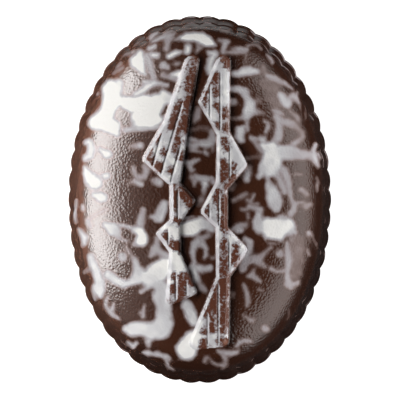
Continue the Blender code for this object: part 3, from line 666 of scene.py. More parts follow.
def distance_inside(points, outline):
    """How far inside the closed outline each point lies. It is negative outside."""
    nearest = np.full(len(points), np.inf)
    inside = np.zeros(len(points), bool)
    for start, end in zip(outline, np.roll(outline, -1, axis=0)):
        along = end - start
        offset = points - start
        share = np.clip(offset @ along / (along @ along), 0.0, 1.0)
        gap = offset - share[:, None] * along
        nearest = np.minimum(nearest, (gap**2).sum(axis=1))
        if start[1] != end[1]:
            crosses = (start[1] > points[:, 1]) != (end[1] > points[:, 1])
            meets = start[0] + (points[:, 1] - start[1]) * along[0] / along[1]
            inside ^= crosses & (points[:, 0] < meets)
    return np.where(inside, 1.0, -1.0) * np.sqrt(nearest)


def soft_min(first, second, blend):
    """The smaller of two values, with a round change from one to the other."""
    share = np.clip(0.5 + 0.5 * (second - first) / blend, 0.0, 1.0)
    return second + (first - second) * share - blend * share * (1 - share)


def unevenness(points, size, seed):
    """Smooth random values between -1 and 1, with hollows and bumps about this size."""
    lattice = np.random.default_rng(seed).uniform(-1.0, 1.0, (LATTICE_SIZE, LATTICE_SIZE))
    place = points / size
    cell = np.floor(place).astype(int)
    share = place - cell
    share = share * share * (3 - 2 * share)
    low_x, low_y = (cell % LATTICE_SIZE).T
    high_x, high_y = ((cell + 1) % LATTICE_SIZE).T
    low = lattice[low_x, low_y] * (1 - share[:, 0]) + lattice[high_x, low_y] * share[:, 0]
    high = lattice[low_x, high_y] * (1 - share[:, 0]) + lattice[high_x, high_y] * share[:, 0]
    return low * (1 - share[:, 1]) + high * share[:, 1]


class PralineForm:
    """The praline's surfaces as formulas, in millimetres."""

    def __init__(self, shape):
        self.half = np.array((shape.width, shape.length)) / MM / 2
        self.draft = np.array((shape.draft_side, shape.draft_end)) / MM
        self.dome_half = self.half - self.draft
        self.height = shape.height / MM
        self.wall_height = shape.wall_height / MM
        self.power = shape.oval_power
        self.flutes = shape.flutes
        self.flute_depth = shape.flute_depth / MM
        self.strand_height = shape.strand_height / MM
        self.strand_slope = shape.strand_slope / MM
        self.groove_width = shape.groove_width / MM
        self.groove_depth = shape.groove_depth / MM
        self.groove_run = shape.groove_run / MM
        self.strands = [rounded_outline(LEFT_STRAND), rounded_outline(RIGHT_STRAND)]
        self.angles, self.pitch = self.evenly_spaced_angles()

    def oval(self, half, angles):
        """The points of an oval, and the directions that look straight out of it there."""
        turn = np.stack((np.cos(angles), np.sin(angles)), axis=1)
        points = half * np.sign(turn) * np.abs(turn) ** (2 / self.power)
        out = np.sign(points) * np.abs(points / half) ** (self.power - 1) / half
        return points, out / np.linalg.norm(out, axis=1)[:, None]

    def evenly_spaced_angles(self):
        """The angles of points that lie evenly along the foot's outline, and the flutes' pitch."""
        fine = np.linspace(0.0, 2 * math.pi, OUTLINE_STEPS)
        steps = np.linalg.norm(np.diff(self.oval(self.half, fine)[0], axis=0), axis=1)
        travelled = np.append(0.0, np.cumsum(steps))
        wanted = np.linspace(0.0, travelled[-1], self.flutes * STEPS_PER_FLUTE, endpoint=False)
        return np.interp(wanted, travelled, fine), travelled[-1] / self.flutes

    def flute_insets(self):
        """How far each point of a ring lies inside the crests: a round face between two sharp notches."""
        phase = (np.arange(len(self.angles)) / STEPS_PER_FLUTE + 0.5) % 1.0 - 0.5
        half_pitch = self.pitch / 2
        radius = (half_pitch**2 + self.flute_depth**2) / (2 * self.flute_depth)
        return radius - np.sqrt(radius**2 - (phase * self.pitch) ** 2)

    def from_middle(self, points, half):
        """How far out each point lies: 0 in the middle, and 1 on an oval of this half size."""
        return (np.abs(points / half) ** self.power).sum(axis=1) ** (1 / self.power)

    def dome_height(self, points):
        """Height of the dome's surface, which is elliptic in section."""
        from_middle = np.minimum(1.0, self.from_middle(points, self.dome_half))
        return self.wall_height + (self.height - self.wall_height) * np.sqrt(1 - from_middle**2)

    def inside_strands(self, points):
        """How far inside a strand's foot each point lies. It is negative outside both."""
        return np.maximum(*(distance_inside(points, strand) for strand in self.strands))

    def across_groove(self, points, groove):
        """Each point's place along a groove's line, its distance from it, and the line's length."""
        start, end = np.array(groove[:2]), np.array(groove[2:])
        length = np.linalg.norm(end - start)
        direction = (end - start) / length
        offset = points - start
        along = offset @ direction
        return along, offset @ np.array((-direction[1], direction[0])), length

    def cut(self, points, height, groove, width, depth):
        """The height left by a V-shaped groove, which deepens from its start and rises at its end."""
        along, aside, length = self.across_groove(points, groove)
        share = np.minimum(along, length - along) / self.groove_run
        floor = depth * (np.minimum(share, 1.0) - np.hypot(aside, GROOVE_FLOOR) / (width / 2))
        lowered = soft_min(height, self.strand_height - floor, GROOVE_ROUNDING)
        return np.where(share > 0, lowered, height)

    def relief_height(self, points, inside):
        """Height of the strands over the dome."""
        slope = self.strand_height / self.strand_slope
        height = soft_min(inside * slope, np.full(len(points), self.strand_height), TOP_ROUNDING)
        rounded = (inside + FOOT_ROUNDING) ** 2 / (4 * FOOT_ROUNDING) * slope
        height = np.where(np.abs(inside) < FOOT_ROUNDING, rounded, height)
        for fold_x, low, high in FOLDS:
            falls = (points[:, 1] > low) & (points[:, 1] < high)
            height -= falls * FOLD_FALL * np.maximum(points[:, 0] - fold_x, 0.0) * (inside > 0)
        for groove in GROOVES:
            height = self.cut(points, height, groove, self.groove_width, self.groove_depth)
        for crease in CREASES:
            height = self.cut(points, height, crease, CREASE_WIDTH, CREASE_DEPTH)
        return np.where(inside > -FOOT_ROUNDING, np.maximum(height, 0.0), 0.0)

    def top_height(self, points):
        """Height of the dome with its strands, and with the slight waves of a cast surface."""
        inside = self.inside_strands(points)
        waves = sum(height * unevenness(points, size, seed) for height, size, seed in WAVES)
        return self.dome_height(points) + self.relief_height(points, inside) + waves

    def lattice(self, half, step):
        """Points of a triangular grid inside an oval."""
        rows = np.arange(-half[1], half[1], step * math.sqrt(3) / 2)
        columns = np.arange(-half[0], half[0], step)
        x, y = np.meshgrid(columns, rows)
        x[1::2] += step / 2
        points = np.stack((x.ravel(), y.ravel()), axis=1)
        return points[self.from_middle(points, half) < 1]

    def snapped(self, points, distance, level, reach):
        """Moves the points that lie near this level of a distance onto it."""
        value = distance(points)
        near = np.abs(value - level) < reach
        spot = points[near]
        delta = 1e-3
        slope_x = distance(spot + (delta, 0)) - distance(spot - (delta, 0))
        slope_y = distance(spot + (0, delta)) - distance(spot - (0, delta))
        slope = np.stack((slope_x, slope_y), axis=1) / (2 * delta)
        steepness = np.linalg.norm(slope, axis=1)
        slope /= np.maximum(steepness, 0.5)[:, None]  # on a ridge of the distance it is flat
        points[near] = spot + slope * (level - value[near])[:, None]
        return points

    def top_points(self):
        """Points of the cap: fine on the strands and along their edges and grooves, coarser elsewhere."""
        half = self.dome_half * SHOULDER_SHARE * CAP_SHARE
        coarse = self.lattice(half, COARSE_STEP)
        coarse = coarse[self.inside_strands(coarse) < -FINE_MARGIN]
        fine = self.lattice(half, FINE_STEP)
        fine = fine[(fine[:, 0] > STRANDS_FROM) & (fine[:, 0] < STRANDS_TO)]
        fine = fine[self.inside_strands(fine) > -FINE_MARGIN + FINE_GAP]
        for level in (0.0, self.strand_slope):
            fine = self.snapped(fine, self.inside_strands, level, FINE_STEP * 0.5)
        return np.concatenate((coarse, fine))


def triangulated(ring, points):
    """Triangles over a ring and the points inside it: the places, the ring first, and the faces."""
    cells = np.round(points / MERGE_STEP).astype(int)
    points = points[np.unique(cells, axis=0, return_index=True)[1]]
    places = np.concatenate((ring, points))
    edges = [(index, (index + 1) % len(ring)) for index in range(len(ring))]
    found, _, faces, origins, _, _ = delaunay_2d_cdt(
        [Vector(place) for place in places], edges, [], 1, 1e-6
    )
    index_of = np.zeros(len(found), int)
    for index, origin in enumerate(origins):
        index_of[index] = origin[0]
    return places, [[int(index_of[corner]) for corner in face] for face in faces]


def wall_rings(form):
    """The wall's rings from the foot up, as arrays of points with rounded changes of slope."""
    profile = np.array(WALL_PROFILE)
    for _ in range(2):
        quarter = profile[:-1] * 0.75 + profile[1:] * 0.25
        three_quarters = profile[:-1] * 0.25 + profile[1:] * 0.75
        between = np.stack((quarter, three_quarters), axis=1).reshape(-1, 3)
        profile = np.concatenate((profile[:1], between, profile[-1:]))
    insets = form.flute_insets()
    around = np.stack((np.cos(form.angles), np.sin(form.angles)), axis=1)
    worn = 1 + FLUTE_WEAR * unevenness(around, size=0.09, seed=7)
    rings = []
    for height, draft_share, flute_share in profile:
        points, out = form.oval(form.half - draft_share * form.draft, form.angles)
        ripple = WALL_RIPPLE * unevenness(around * WALL_RADIUS + height, size=1.7, seed=8)
        ripple *= flute_share
        points = points - out * (flute_share * worn * insets + ripple + WALL_INSET)[:, None]
        lift = LEDGE_RIPPLE * unevenness(around, size=0.22, seed=9)
        lift *= min(1.0, height, (form.wall_height - height) * 4)  # none at the foot and the shoulder
        rings.append(np.column_stack((points, height + lift)))
    return rings


def dome_rings(form):
    """The dome's outer rings, from the shoulder up to the cap."""
    rings = []
    for tilt in np.linspace(math.pi / 2, math.asin(SHOULDER_SHARE), OUTER_DOME_RINGS + 1)[1:]:
        points = form.oval(form.dome_half * math.sin(tilt), form.angles)[0]
        rings.append(np.column_stack((points, form.top_height(points))))
    return rings


def bridge(first, second, count):
    """The faces between two rings that start at these vertices."""
    ahead = [(index + 1) % count for index in range(count)]
    return [
        (first + index, first + after, second + after, second + index)
        for index, after in enumerate(ahead)
    ]


def praline_mesh(form):
    """The whole surface: cap, outer dome, fluted wall and foot."""
    rings = wall_rings(form) + dome_rings(form)
    count = len(form.angles)
    places, faces = triangulated(rings[-1][:, :2], form.top_points())
    cap = np.column_stack((places, form.top_height(places)))
    points = [cap]
    starts = [0]
    total = len(cap)
    for ring in reversed(rings[:-1]):
        points.append(ring)
        faces += bridge(total, starts[-1], count)
        starts.append(total)
        total += count
    foot = rings[0][:, :2]
    floor_half = form.half - form.draft * FOOT_DRAFT
    inner = foot * (1 - FOOT_EDGE / np.linalg.norm(foot, axis=1))[:, None]
    points.append(np.column_stack((inner, np.zeros(count))))
    faces += bridge(total, starts[-1], count)
    places, base = triangulated(inner, form.lattice(floor_half - FOOT_MARGIN, BASE_STEP))
    hollow = FOOT_HOLLOW * (0.5 + 0.5 * unevenness(places[count:], size=2.2, seed=11))
    points.append(np.column_stack((places[count:], hollow)))
    faces += [[total + corner for corner in reversed(face)] for face in base]
    return np.concatenate(points), faces


def splash_depth(points, chain):
    """How far inside a splash each point lies: discs in a chain, joined by tapering bands."""
    depth = np.full(len(points), -np.inf)
    for (x1, y1, r1), (x2, y2, r2) in zip(chain[:-1], chain[1:]):
        start, along = np.array((x1, y1)), np.array((x2 - x1, y2 - y1))
        offset = points - start
        share = np.clip(offset @ along / (along @ along), 0.0, 1.0)
        gap = np.linalg.norm(offset - share[:, None] * along, axis=1)
        depth = np.maximum(depth, r1 + (r2 - r1) * share - gap)
    return depth


def near_chain(points, chain):
    """Which points a splash can reach, with a margin for its soft edge."""
    discs = np.array(chain)
    low = (discs[:, :2] - discs[:, 2:]).min(axis=0) - SPLASH_MARGIN
    high = (discs[:, :2] + discs[:, 2:]).max(axis=0) + SPLASH_MARGIN
    return ((points > low) & (points < high)).all(axis=1)


def load_weight(depth):
    """How much the white at this depth inside its splash counts for the thickness."""
    return np.exp(np.clip(depth, -SPLASH_MARGIN, SPLASH_MARGIN) / LOAD_BLEND)


def add_splashes(points, white, thickness, splashes):
    """Pours splashes over what is there. The deepest splash at a point sets its thickness."""
    weight = load_weight(white)
    loaded = thickness * weight
    for load, *chain in splashes:
        near = near_chain(points, chain)
        depth = splash_depth(points[near], chain)
        white[near] = -soft_min(-white[near], -depth, SPLASH_BLEND)
        share = load_weight(depth)
        weight[near] += share
        loaded[near] += load * share
    return white, loaded / weight


def cut_splashes(points, white, chains, growth=0.0):
    """Lets the dark chocolate show through the white."""
    for chain in chains:
        near = near_chain(points, chain)
        depth = splash_depth(points[near], chain) + growth
        white[near] = soft_min(white[near], -depth, SPLASH_BLEND)
    return white


def drifted(flat):
    """The places a little astray, as poured chocolate drifts before it sets."""
    drift = [
        sum(reach * unevenness(flat, size, seed) for (reach, size), seed in zip(DRIFTS, seeds))
        for seeds in DRIFT_SEEDS
    ]
    return flat + np.stack(drift, axis=1)


def turned_from_light(form, flat):
    """How far the strands' surface looks away from the strongest light, for painted light and shade: 1 is
    turned from it and -1 is towards it.
    """
    step = np.array(FROM_LIGHT_STEP)
    behind, ahead = flat - step, flat + step
    rise = form.relief_height(ahead, form.inside_strands(ahead))
    rise -= form.relief_height(behind, form.inside_strands(behind))
    return np.clip(-rise / (2 * np.hypot(*step)), -1.0, 1.0)


def marbling(form, points):
    """For each point: how far it lies inside the white in mm, how thick that is, and if it is on a strand. On
    the strands the white carries painted light and shade: more on faces towards the strongest light, less and
    with fewer specks on faces turned from it.
    """
    flat = drifted(points[:, :2])
    on_top = points[:, 2] > WHITE_REACH
    white = np.full(len(points), NO_SPLASH)
    thickness = np.full(len(points), BARE_THICKNESS)
    white, thickness = add_splashes(flat, white, thickness, DOME_WHITES)
    white = cut_splashes(flat, white, DOME_DARKS)
    white, thickness = add_splashes(flat, white, thickness, DOME_ISLANDS)
    white = np.where(on_top, white, NO_SPLASH)
    thickness *= 1 + THICKNESS_WAVES * (1 - thickness) * unevenness(flat, size=0.6, seed=41)

    inside = form.inside_strands(points[:, :2])
    on_strand = (inside > STRAND_EDGE) & (points[:, 2] > form.wall_height)
    strand_white = np.full(len(points), STRAND_DEPTH)
    strand_thickness = STRAND_THICKNESS + STRAND_UNEVENNESS * unevenness(flat, size=0.55, seed=31)
    strand_white, strand_thickness = add_splashes(flat, strand_white, strand_thickness, STRAND_WHITES)
    strand_white = cut_splashes(flat, strand_white, STRAND_DARKS, DARK_GROWTH)
    for x, y, radius in TIPS:
        strand_white = np.minimum(strand_white, np.hypot(flat[:, 0] - x, flat[:, 1] - y) - radius)
    strand_white = np.maximum(strand_white, SPECKED)
    strand_white += STRAND_WANDER * unevenness(flat, size=0.33, seed=33)
    # Painted light and shade: more white on faces towards the strongest light, less on faces turned from it
    away = turned_from_light(form, points[:, :2])
    strand_white -= np.where(away > 0, SHADED_FACE_LOSS, LIT_FACE_GAIN) * away
    strand_white *= STRAND_CRISPNESS

    white = np.where(on_strand, strand_white, white)
    thickness = np.where(on_strand, strand_thickness, thickness)
    # The strand mark is weaker on faces turned from the light: painted shade, with fewer specks there
    return white, thickness, on_strand * (1 - SHADED_FACE_SPECKS * np.maximum(away, 0.0))


def scuffs_and_glints(points, angle, around):
    """How strong the pale scuffs on the wall's worn edges are, which also serve as painted glints."""
    patches = SCUFF_AND_GLINT_PATCHES * unevenness(around, size=0.045, seed=51) + SCUFF_AND_GLINT_GATHERING * np.sin(angle)
    patches = np.clip(patches, 0.0, 1.0)
    lines = np.zeros(len(points))
    for height, half_width in SCUFF_AND_GLINT_EDGES:
        line = np.exp(-(((points[:, 2] - height) / half_width) ** 2))
        lines = np.maximum(lines, line * patches)
    return lines * (SCUFF_AND_GLINT_STRENGTH + SCUFF_AND_GLINT_UPPER_END * np.maximum(np.sin(angle), 0.0) ** 1.5)


def painted_strand_shadow(form, flat):
    """Painted shadow of the strands: 1 close to their right side, turned from the strongest light, and down
    to 0 further off and on the strands themselves.
    """
    inside = form.inside_strands(flat)
    rise = form.inside_strands(flat + (SHADOW_STEP, 0.0)) - inside
    away = np.clip(-rise / SHADOW_STEP, 0.0, 1.0) * np.clip(-inside / SHADOW_START, 0.0, 1.0)
    return away * np.exp(-((inside / SHADOW_REACH) ** 2))


def wear_and_painted_light(form, points):
    """For each point: how scuffed or glinting it is, how much painted shade it has, how much painted
    highlight the thin rim has, and how grained it is.
    """
    angle = np.arctan2(points[:, 1], points[:, 0])
    around = np.column_stack((np.cos(angle), np.sin(angle)))
    sharpness, cut = BRIGHT_EDGE
    faces_light = np.clip(np.cos(angle - BRIGHT_SIDE) * sharpness - cut, 0.0, 1.0)
    above, fade = SHOULDER_FADE
    on_wall = np.clip((form.wall_height + above - points[:, 2]) / fade, 0.0, 1.0)
    from_middle = form.from_middle(points[:, :2], form.dome_half)

    scuff_and_glint = scuffs_and_glints(points, angle, around)
    scuff_and_glint *= 1 - SCUFF_AND_GLINT_GLARE_LOSS * faces_light

    # Painted shade: the wall and the dome's edge darker, most on the side turned from the strongest light,
    # and the strands' painted shadow beside them
    start, growth, strength = OUTER_DOME_SHADE
    outer_dome_shade = strength * np.clip((from_middle - start) / growth, 0.0, 1.0)
    painted_shade = np.maximum(on_wall, outer_dome_shade) * (SHADE_MIDDLE + SHADE_SWING * np.cos(angle - SHADED_AZIMUTH))
    painted_shade = np.maximum(painted_shade, painted_strand_shadow(form, points[:, :2]))

    # Painted highlight: the thin rim is paler on the side the strongest light falls on; the strands' tips are
    # redder in their own colour
    start, growth, wander = RIM
    place = from_middle + wander * unevenness(around, size=0.05, seed=53)
    rim = np.clip((place - start) / growth, 0.0, 1.0)
    pale = rim * faces_light * (1 - WALL_PALENESS_LOSS * on_wall)
    for x, y, radius in TIPS:
        gap = np.hypot(points[:, 0] - x, points[:, 1] - y)
        pale = np.maximum(pale, np.clip(2 * (1 - gap / radius), 0.0, 1.0))
    return scuff_and_glint, painted_shade, pale, 1 - WALL_GRAIN_LOSS * on_wall


# --- Materials ----------------------------------------------------------------------------------------

COCOA_BUTTER_IOR = 1.47
FILM_GAIN = 1.06  # a splash of full thickness is certain to reach the film's last colour
HIDING_FILM = 0.45  # a film of this strength has its own colour, and a weaker one lets the dark through


def linear(hex_colour):
    """An sRGB colour such as "#402923" as linear red, green, blue and full alpha."""
    channels = [int(hex_colour[index : index + 2], 16) / 255 for index in (1, 3, 5)]
    return (
        *(c / 12.92 if c <= 0.04045 else ((c + 0.055) / 1.055) ** 2.4 for c in channels),
        1.0,
    )


def add_node(tree, kind, settings=None, values=None, links=None):
    """Adds a node, with its settings, the values of its inputs, and the outputs that feed them."""
    node = tree.nodes.new(kind)
    for name, value in (settings or {}).items():
        setattr(node, name, value)
    for socket, value in (values or {}).items():
        node.inputs[socket].default_value = value
    for socket, source in (links or {}).items():
        tree.links.new(source, node.inputs[socket])
    return node


def new_material(name):
    """An empty node material."""
    material = bpy.data.materials.new(name)
    material.use_nodes = True
    material.node_tree.nodes.clear()
    return material


def marbled_chocolate(look):
    """Moulded dark chocolate under a poured film of white, thin and lilac at its edges, with a fine grain.

    It gives the eye the contrast of the splashes, a soft edge to each, and the leathery sparkle of the glare,
    and it mixes in the painted shade and highlights that the mesh's marks carry.
    """
    material = new_material("marbled_chocolate")
    tree = material.node_tree
    place = add_node(tree, "ShaderNodeTexCoord").outputs["Object"]
    white, thickness, strand, scuff_and_glint, painted_shade, pale, grained = (
        add_node(tree, "ShaderNodeAttribute", {"attribute_name": mark}).outputs["Fac"] for mark in MARKS
    )

    # The splashes' edges wander by about a tenth of a millimetre
    wander = add_node(
        tree,
        "ShaderNodeTexNoise",
        values={"Scale": 1 / look.edge_size, "Detail": 4.0, "Roughness": 0.65},
        links={"Vector": place},
    ).outputs["Fac"]
    edge = add_node(
        tree,
        "ShaderNodeMath",
        {"operation": "MULTIPLY_ADD"},
        {1: 2 * look.edge_wander / MM, 2: -look.edge_wander / MM},
        {0: wander},
    ).outputs[0]
    wandered = add_node(tree, "ShaderNodeMath", {"operation": "ADD"}, links={0: white, 1: edge}).outputs[0]

    # On the strands the white was rubbed thin, so that fine specks of both show beside each other
    specks = add_node(
        tree,
        "ShaderNodeTexNoise",
        values={"Scale": 1 / look.speck_size, "Detail": 3.0, "Roughness": 0.6},
        links={"Vector": place},
    ).outputs["Fac"]
    speckled = add_node(
        tree,
        "ShaderNodeMath",
        {"operation": "MULTIPLY_ADD"},
        {1: 2 * look.speck_depth / MM, 2: -look.speck_depth / MM},
        {0: specks},
    ).outputs[0]
    depth = add_node(
        tree, "ShaderNodeMath", {"operation": "MULTIPLY_ADD"}, links={0: speckled, 1: strand, 2: wandered}
    ).outputs[0]

    # The white rises softly at a splash's edge
    cover = add_node(
        tree,
        "ShaderNodeMapRange",
        {"interpolation_type": "SMOOTHSTEP"},
        {"From Min": -look.edge_outside / MM, "From Max": look.edge_inside / MM},
        {"Value": depth},
    ).outputs["Result"]
    poured = add_node(
        tree, "ShaderNodeMath", {"operation": "MULTIPLY"}, links={0: cover, 1: thickness}
    ).outputs[0]
    fullest = add_node(
        tree, "ShaderNodeMath", {"operation": "MULTIPLY", "use_clamp": True}, {1: FILM_GAIN}, {0: poured}
    ).outputs[0]
    # The scuffs, and the painted glints that share their mark, raise the film
    film = add_node(
        tree, "ShaderNodeMath", {"operation": "MAXIMUM"}, links={0: fullest, 1: scuff_and_glint}
    ).outputs[0]

    # Where the film is thin the dark below makes it lilac, and where it is thick it is cream
    tone = add_node(tree, "ShaderNodeValToRGB", links={"Fac": film})
    set_stops(tone.color_ramp, film_stops(look))
    # The dark chocolate, with painted shade on the wall, the dome's edge and beside the strands, and a
    # painted highlight on the lit rim
    dark_tone = add_node(
        tree,
        "ShaderNodeMix",
        {"data_type": "RGBA"},
        {"A": look.dark_chocolate, "B": look.shaded_chocolate},
        {"Factor": painted_shade},
    ).outputs["Result"]
    for part, part_colour in ((strand, look.strand_chocolate), (pale, look.lit_rim_and_tip_chocolate)):
        dark_tone = add_node(
            tree,
            "ShaderNodeMix",
            {"data_type": "RGBA"},
            {"B": part_colour},
            {"Factor": part, "A": dark_tone},
        ).outputs["Result"]
    share = add_node(
        tree,
        "ShaderNodeMapRange",
        {"interpolation_type": "SMOOTHSTEP"},
        {"From Min": 0.0, "From Max": HIDING_FILM},
        {"Value": film},
    ).outputs["Result"]
    colour = add_node(
        tree,
        "ShaderNodeMix",
        {"data_type": "RGBA"},
        links={"Factor": share, "A": dark_tone, "B": tone.outputs["Color"]},
    ).outputs["Result"]

    # The mould's leathery grain, drawn a little coarser than it may be so that the picture shows it
    grain = add_node(
        tree,
        "ShaderNodeTexVoronoi",
        {"feature": "SMOOTH_F1"},
        {"Scale": 1 / look.grain_size, "Smoothness": 0.6},
        {"Vector": place},
    ).outputs["Distance"]
    bump = add_node(
        tree,
        "ShaderNodeBump",
        values={"Distance": look.grain_height},
        links={"Strength": grained, "Height": grain},
    ).outputs["Normal"]
    roughness = add_node(
        tree,
        "ShaderNodeMapRange",
        values={"To Min": look.dark_roughness, "To Max": look.white_roughness},
        links={"Value": film},
    ).outputs["Result"]
    shader = add_node(
        tree,
        "ShaderNodeBsdfPrincipled",
        values={"IOR": COCOA_BUTTER_IOR},
        links={"Base Color": colour, "Roughness": roughness, "Normal": bump},
    )
    add_node(tree, "ShaderNodeOutputMaterial", links={"Surface": shader.outputs["BSDF"]})
    return material


def film_stops(look):
    """The film's colours from a breath of white to a thick layer."""
    return (
        (0.00, look.thinnest_film),
        (0.25, linear("#75635F")),
        (0.50, linear("#958C8E")),
        (0.70, linear("#ACA8AB")),
        (0.85, linear("#C3C2C4")),
        (1.00, look.white_chocolate),
    )


def set_stops(ramp, stops):
    """Gives a colour ramp these stops."""
    while len(ramp.elements) < len(stops):
        ramp.elements.new(1.0)
    for element, (position, colour) in zip(ramp.elements, stops):
        element.position = position
        element.color = colour


def glowing(name):
    """The face of a light panel, as bright at each place as its glow attribute says."""
    material = new_material(name)
    tree = material.node_tree
    glow = add_node(tree, "ShaderNodeAttribute", {"attribute_name": "glow"}).outputs["Fac"]
    shader = add_node(tree, "ShaderNodeEmission", links={"Strength": glow})
    add_node(tree, "ShaderNodeOutputMaterial", links={"Surface": shader.outputs["Emission"]})
    material.cycles.emission_sampling = "NONE"
    return material


def pale_floor(glow):
    """Matt white sweep, lit a little from below so that it stays pale beside the dark praline."""
    material = new_material("pale_floor")
    tree = material.node_tree
    shader = add_node(
        tree,
        "ShaderNodeBsdfPrincipled",
        values={
            "Base Color": linear("#F4F3F1"),
            "Roughness": 0.9,
            "Emission Color": linear("#FFFFFF"),
            "Emission Strength": glow,
        },
    )
    add_node(tree, "ShaderNodeOutputMaterial", links={"Surface": shader.outputs["BSDF"]})
    return material


# --- Objects ------------------------------------------------------------------------------------------

SHARP_ANGLE = math.radians(38)  # the notches between the flutes stay sharp
STUDIO_RADIUS = 0.4  # m: from the praline's foot to every light
PANEL_STEP = 2.0  # degrees between the points of a light panel
LOW_DIMMING = 75  # degrees: grazing faces mirror more, so a panel is dimmer low down
DIMMEST = 0.6  # share of its brightness that is left at its lowest
FLOOR_REACH = 8.0  # m
RIM_TRACE = 0.06  # share of the rim's glare that the rest of the wall gets


def new_object(name, mesh, material):
    """A new object of the scene, in one material."""
    obj = bpy.data.objects.new(name, mesh)
    bpy.context.scene.collection.objects.link(obj)
    mesh.materials.append(material)
    return obj


def make_praline(shape, look):
    """The praline's one piece."""
    form = PralineForm(shape)
    points, faces = praline_mesh(form)
    mesh = bpy.data.meshes.new("marbled_praline")
    mesh.from_pydata((points * MM).tolist(), [], faces)
    bm = bmesh.new()
    bm.from_mesh(mesh)
    bmesh.ops.recalc_face_normals(bm, faces=bm.faces[:])
    bm.to_mesh(mesh)
    bm.free()
    for mark, values in zip(MARKS, (*marbling(form, points), *wear_and_painted_light(form, points))):
        layer = mesh.attributes.new(mark, "FLOAT", "POINT")
        layer.data.foreach_set("value", values.astype(np.float32))
    mesh.shade_smooth()
    mesh.set_sharp_from_angle(angle=SHARP_ANGLE)
    piece = new_object("marbled_praline", mesh, marbled_chocolate(look))
    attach(piece, "root")
    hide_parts("praline")


def soft_edge(values, low, high, low_fade, high_fade):
    """1 between two limits, and smoothly down to 0 outside them over these widths."""
    rise = np.clip((values - low) / low_fade + 1, 0.0, 1.0)
    fall = np.clip((high - values) / high_fade + 1, 0.0, 1.0)
    share = np.minimum(rise, fall)
    return share * share * (3 - 2 * share)


def make_panel(name, *patches):
    """A curved light panel round the praline. Only the gloss shows it.

    Each of its patches of light has its azimuths, its elevations, the widths of its fading edges, in
    degrees, and its brightness.
    """
    low_azimuth = min(azimuths[0] - fades[0] for azimuths, _, fades, _ in patches)
    high_azimuth = max(azimuths[1] + fades[1] for azimuths, _, fades, _ in patches)
    low_elevation = min(elevations[0] - fades[2] for _, elevations, fades, _ in patches)
    high_elevation = max(elevations[1] + fades[3] for _, elevations, fades, _ in patches)
    # The last ones count too, so each range ends a little later
    azimuth = np.arange(low_azimuth, high_azimuth + 0.1, PANEL_STEP)
    elevation = np.arange(low_elevation, high_elevation + 0.1, PANEL_STEP)
    columns, rows = len(azimuth), len(elevation)
    azimuth, elevation = (grid.ravel() for grid in np.meshgrid(azimuth, elevation))
    glow = np.zeros(len(azimuth))
    for azimuths, elevations, fades, brightness in patches:
        across = soft_edge(azimuth, *azimuths, *fades[:2])
        glow += brightness * across * soft_edge(elevation, *elevations, *fades[2:])
    glow *= np.clip(1 + elevation / LOW_DIMMING, DIMMEST, 1.0)
    a, e = np.radians(azimuth), np.radians(elevation)
    verts = STUDIO_RADIUS * np.column_stack((np.cos(a) * np.cos(e), np.sin(a) * np.cos(e), np.sin(e)))
    faces = [
        (corner, corner + 1, corner + columns + 1, corner + columns)
        for row in range(rows - 1)
        for corner in range(row * columns, row * columns + columns - 1)
    ]
    mesh = bpy.data.meshes.new(name)
    mesh.from_pydata(verts.tolist(), [], faces)
    layer = mesh.attributes.new("glow", "FLOAT", "POINT")
    layer.data.foreach_set("value", glow.astype(np.float32))
    panel = new_object(name, mesh, glowing(name))
    panel.visible_camera = False
    panel.visible_diffuse = False
    panel.visible_transmission = False
    panel.visible_volume_scatter = False
    panel.visible_shadow = False


def make_light(name, azimuth, elevation, size, power):
    """A softbox that looks at the praline, in degrees and metres. The panels make its mirror image."""
    data = bpy.data.lights.new(name, "AREA")
    data.shape = "RECTANGLE"
    data.size, data.size_y = size
    data.energy = power
    light = bpy.data.objects.new(name, data)
    bpy.context.scene.collection.objects.link(light)
    a, e = math.radians(azimuth), math.radians(elevation)
    outwards = Vector((math.cos(a) * math.cos(e), math.sin(a) * math.cos(e), math.sin(e)))
    light.location = STUDIO_RADIUS * outwards
    light.rotation_euler = (-light.location).to_track_quat("-Z", "Y").to_euler()
    light.visible_camera = False
    light.visible_glossy = False


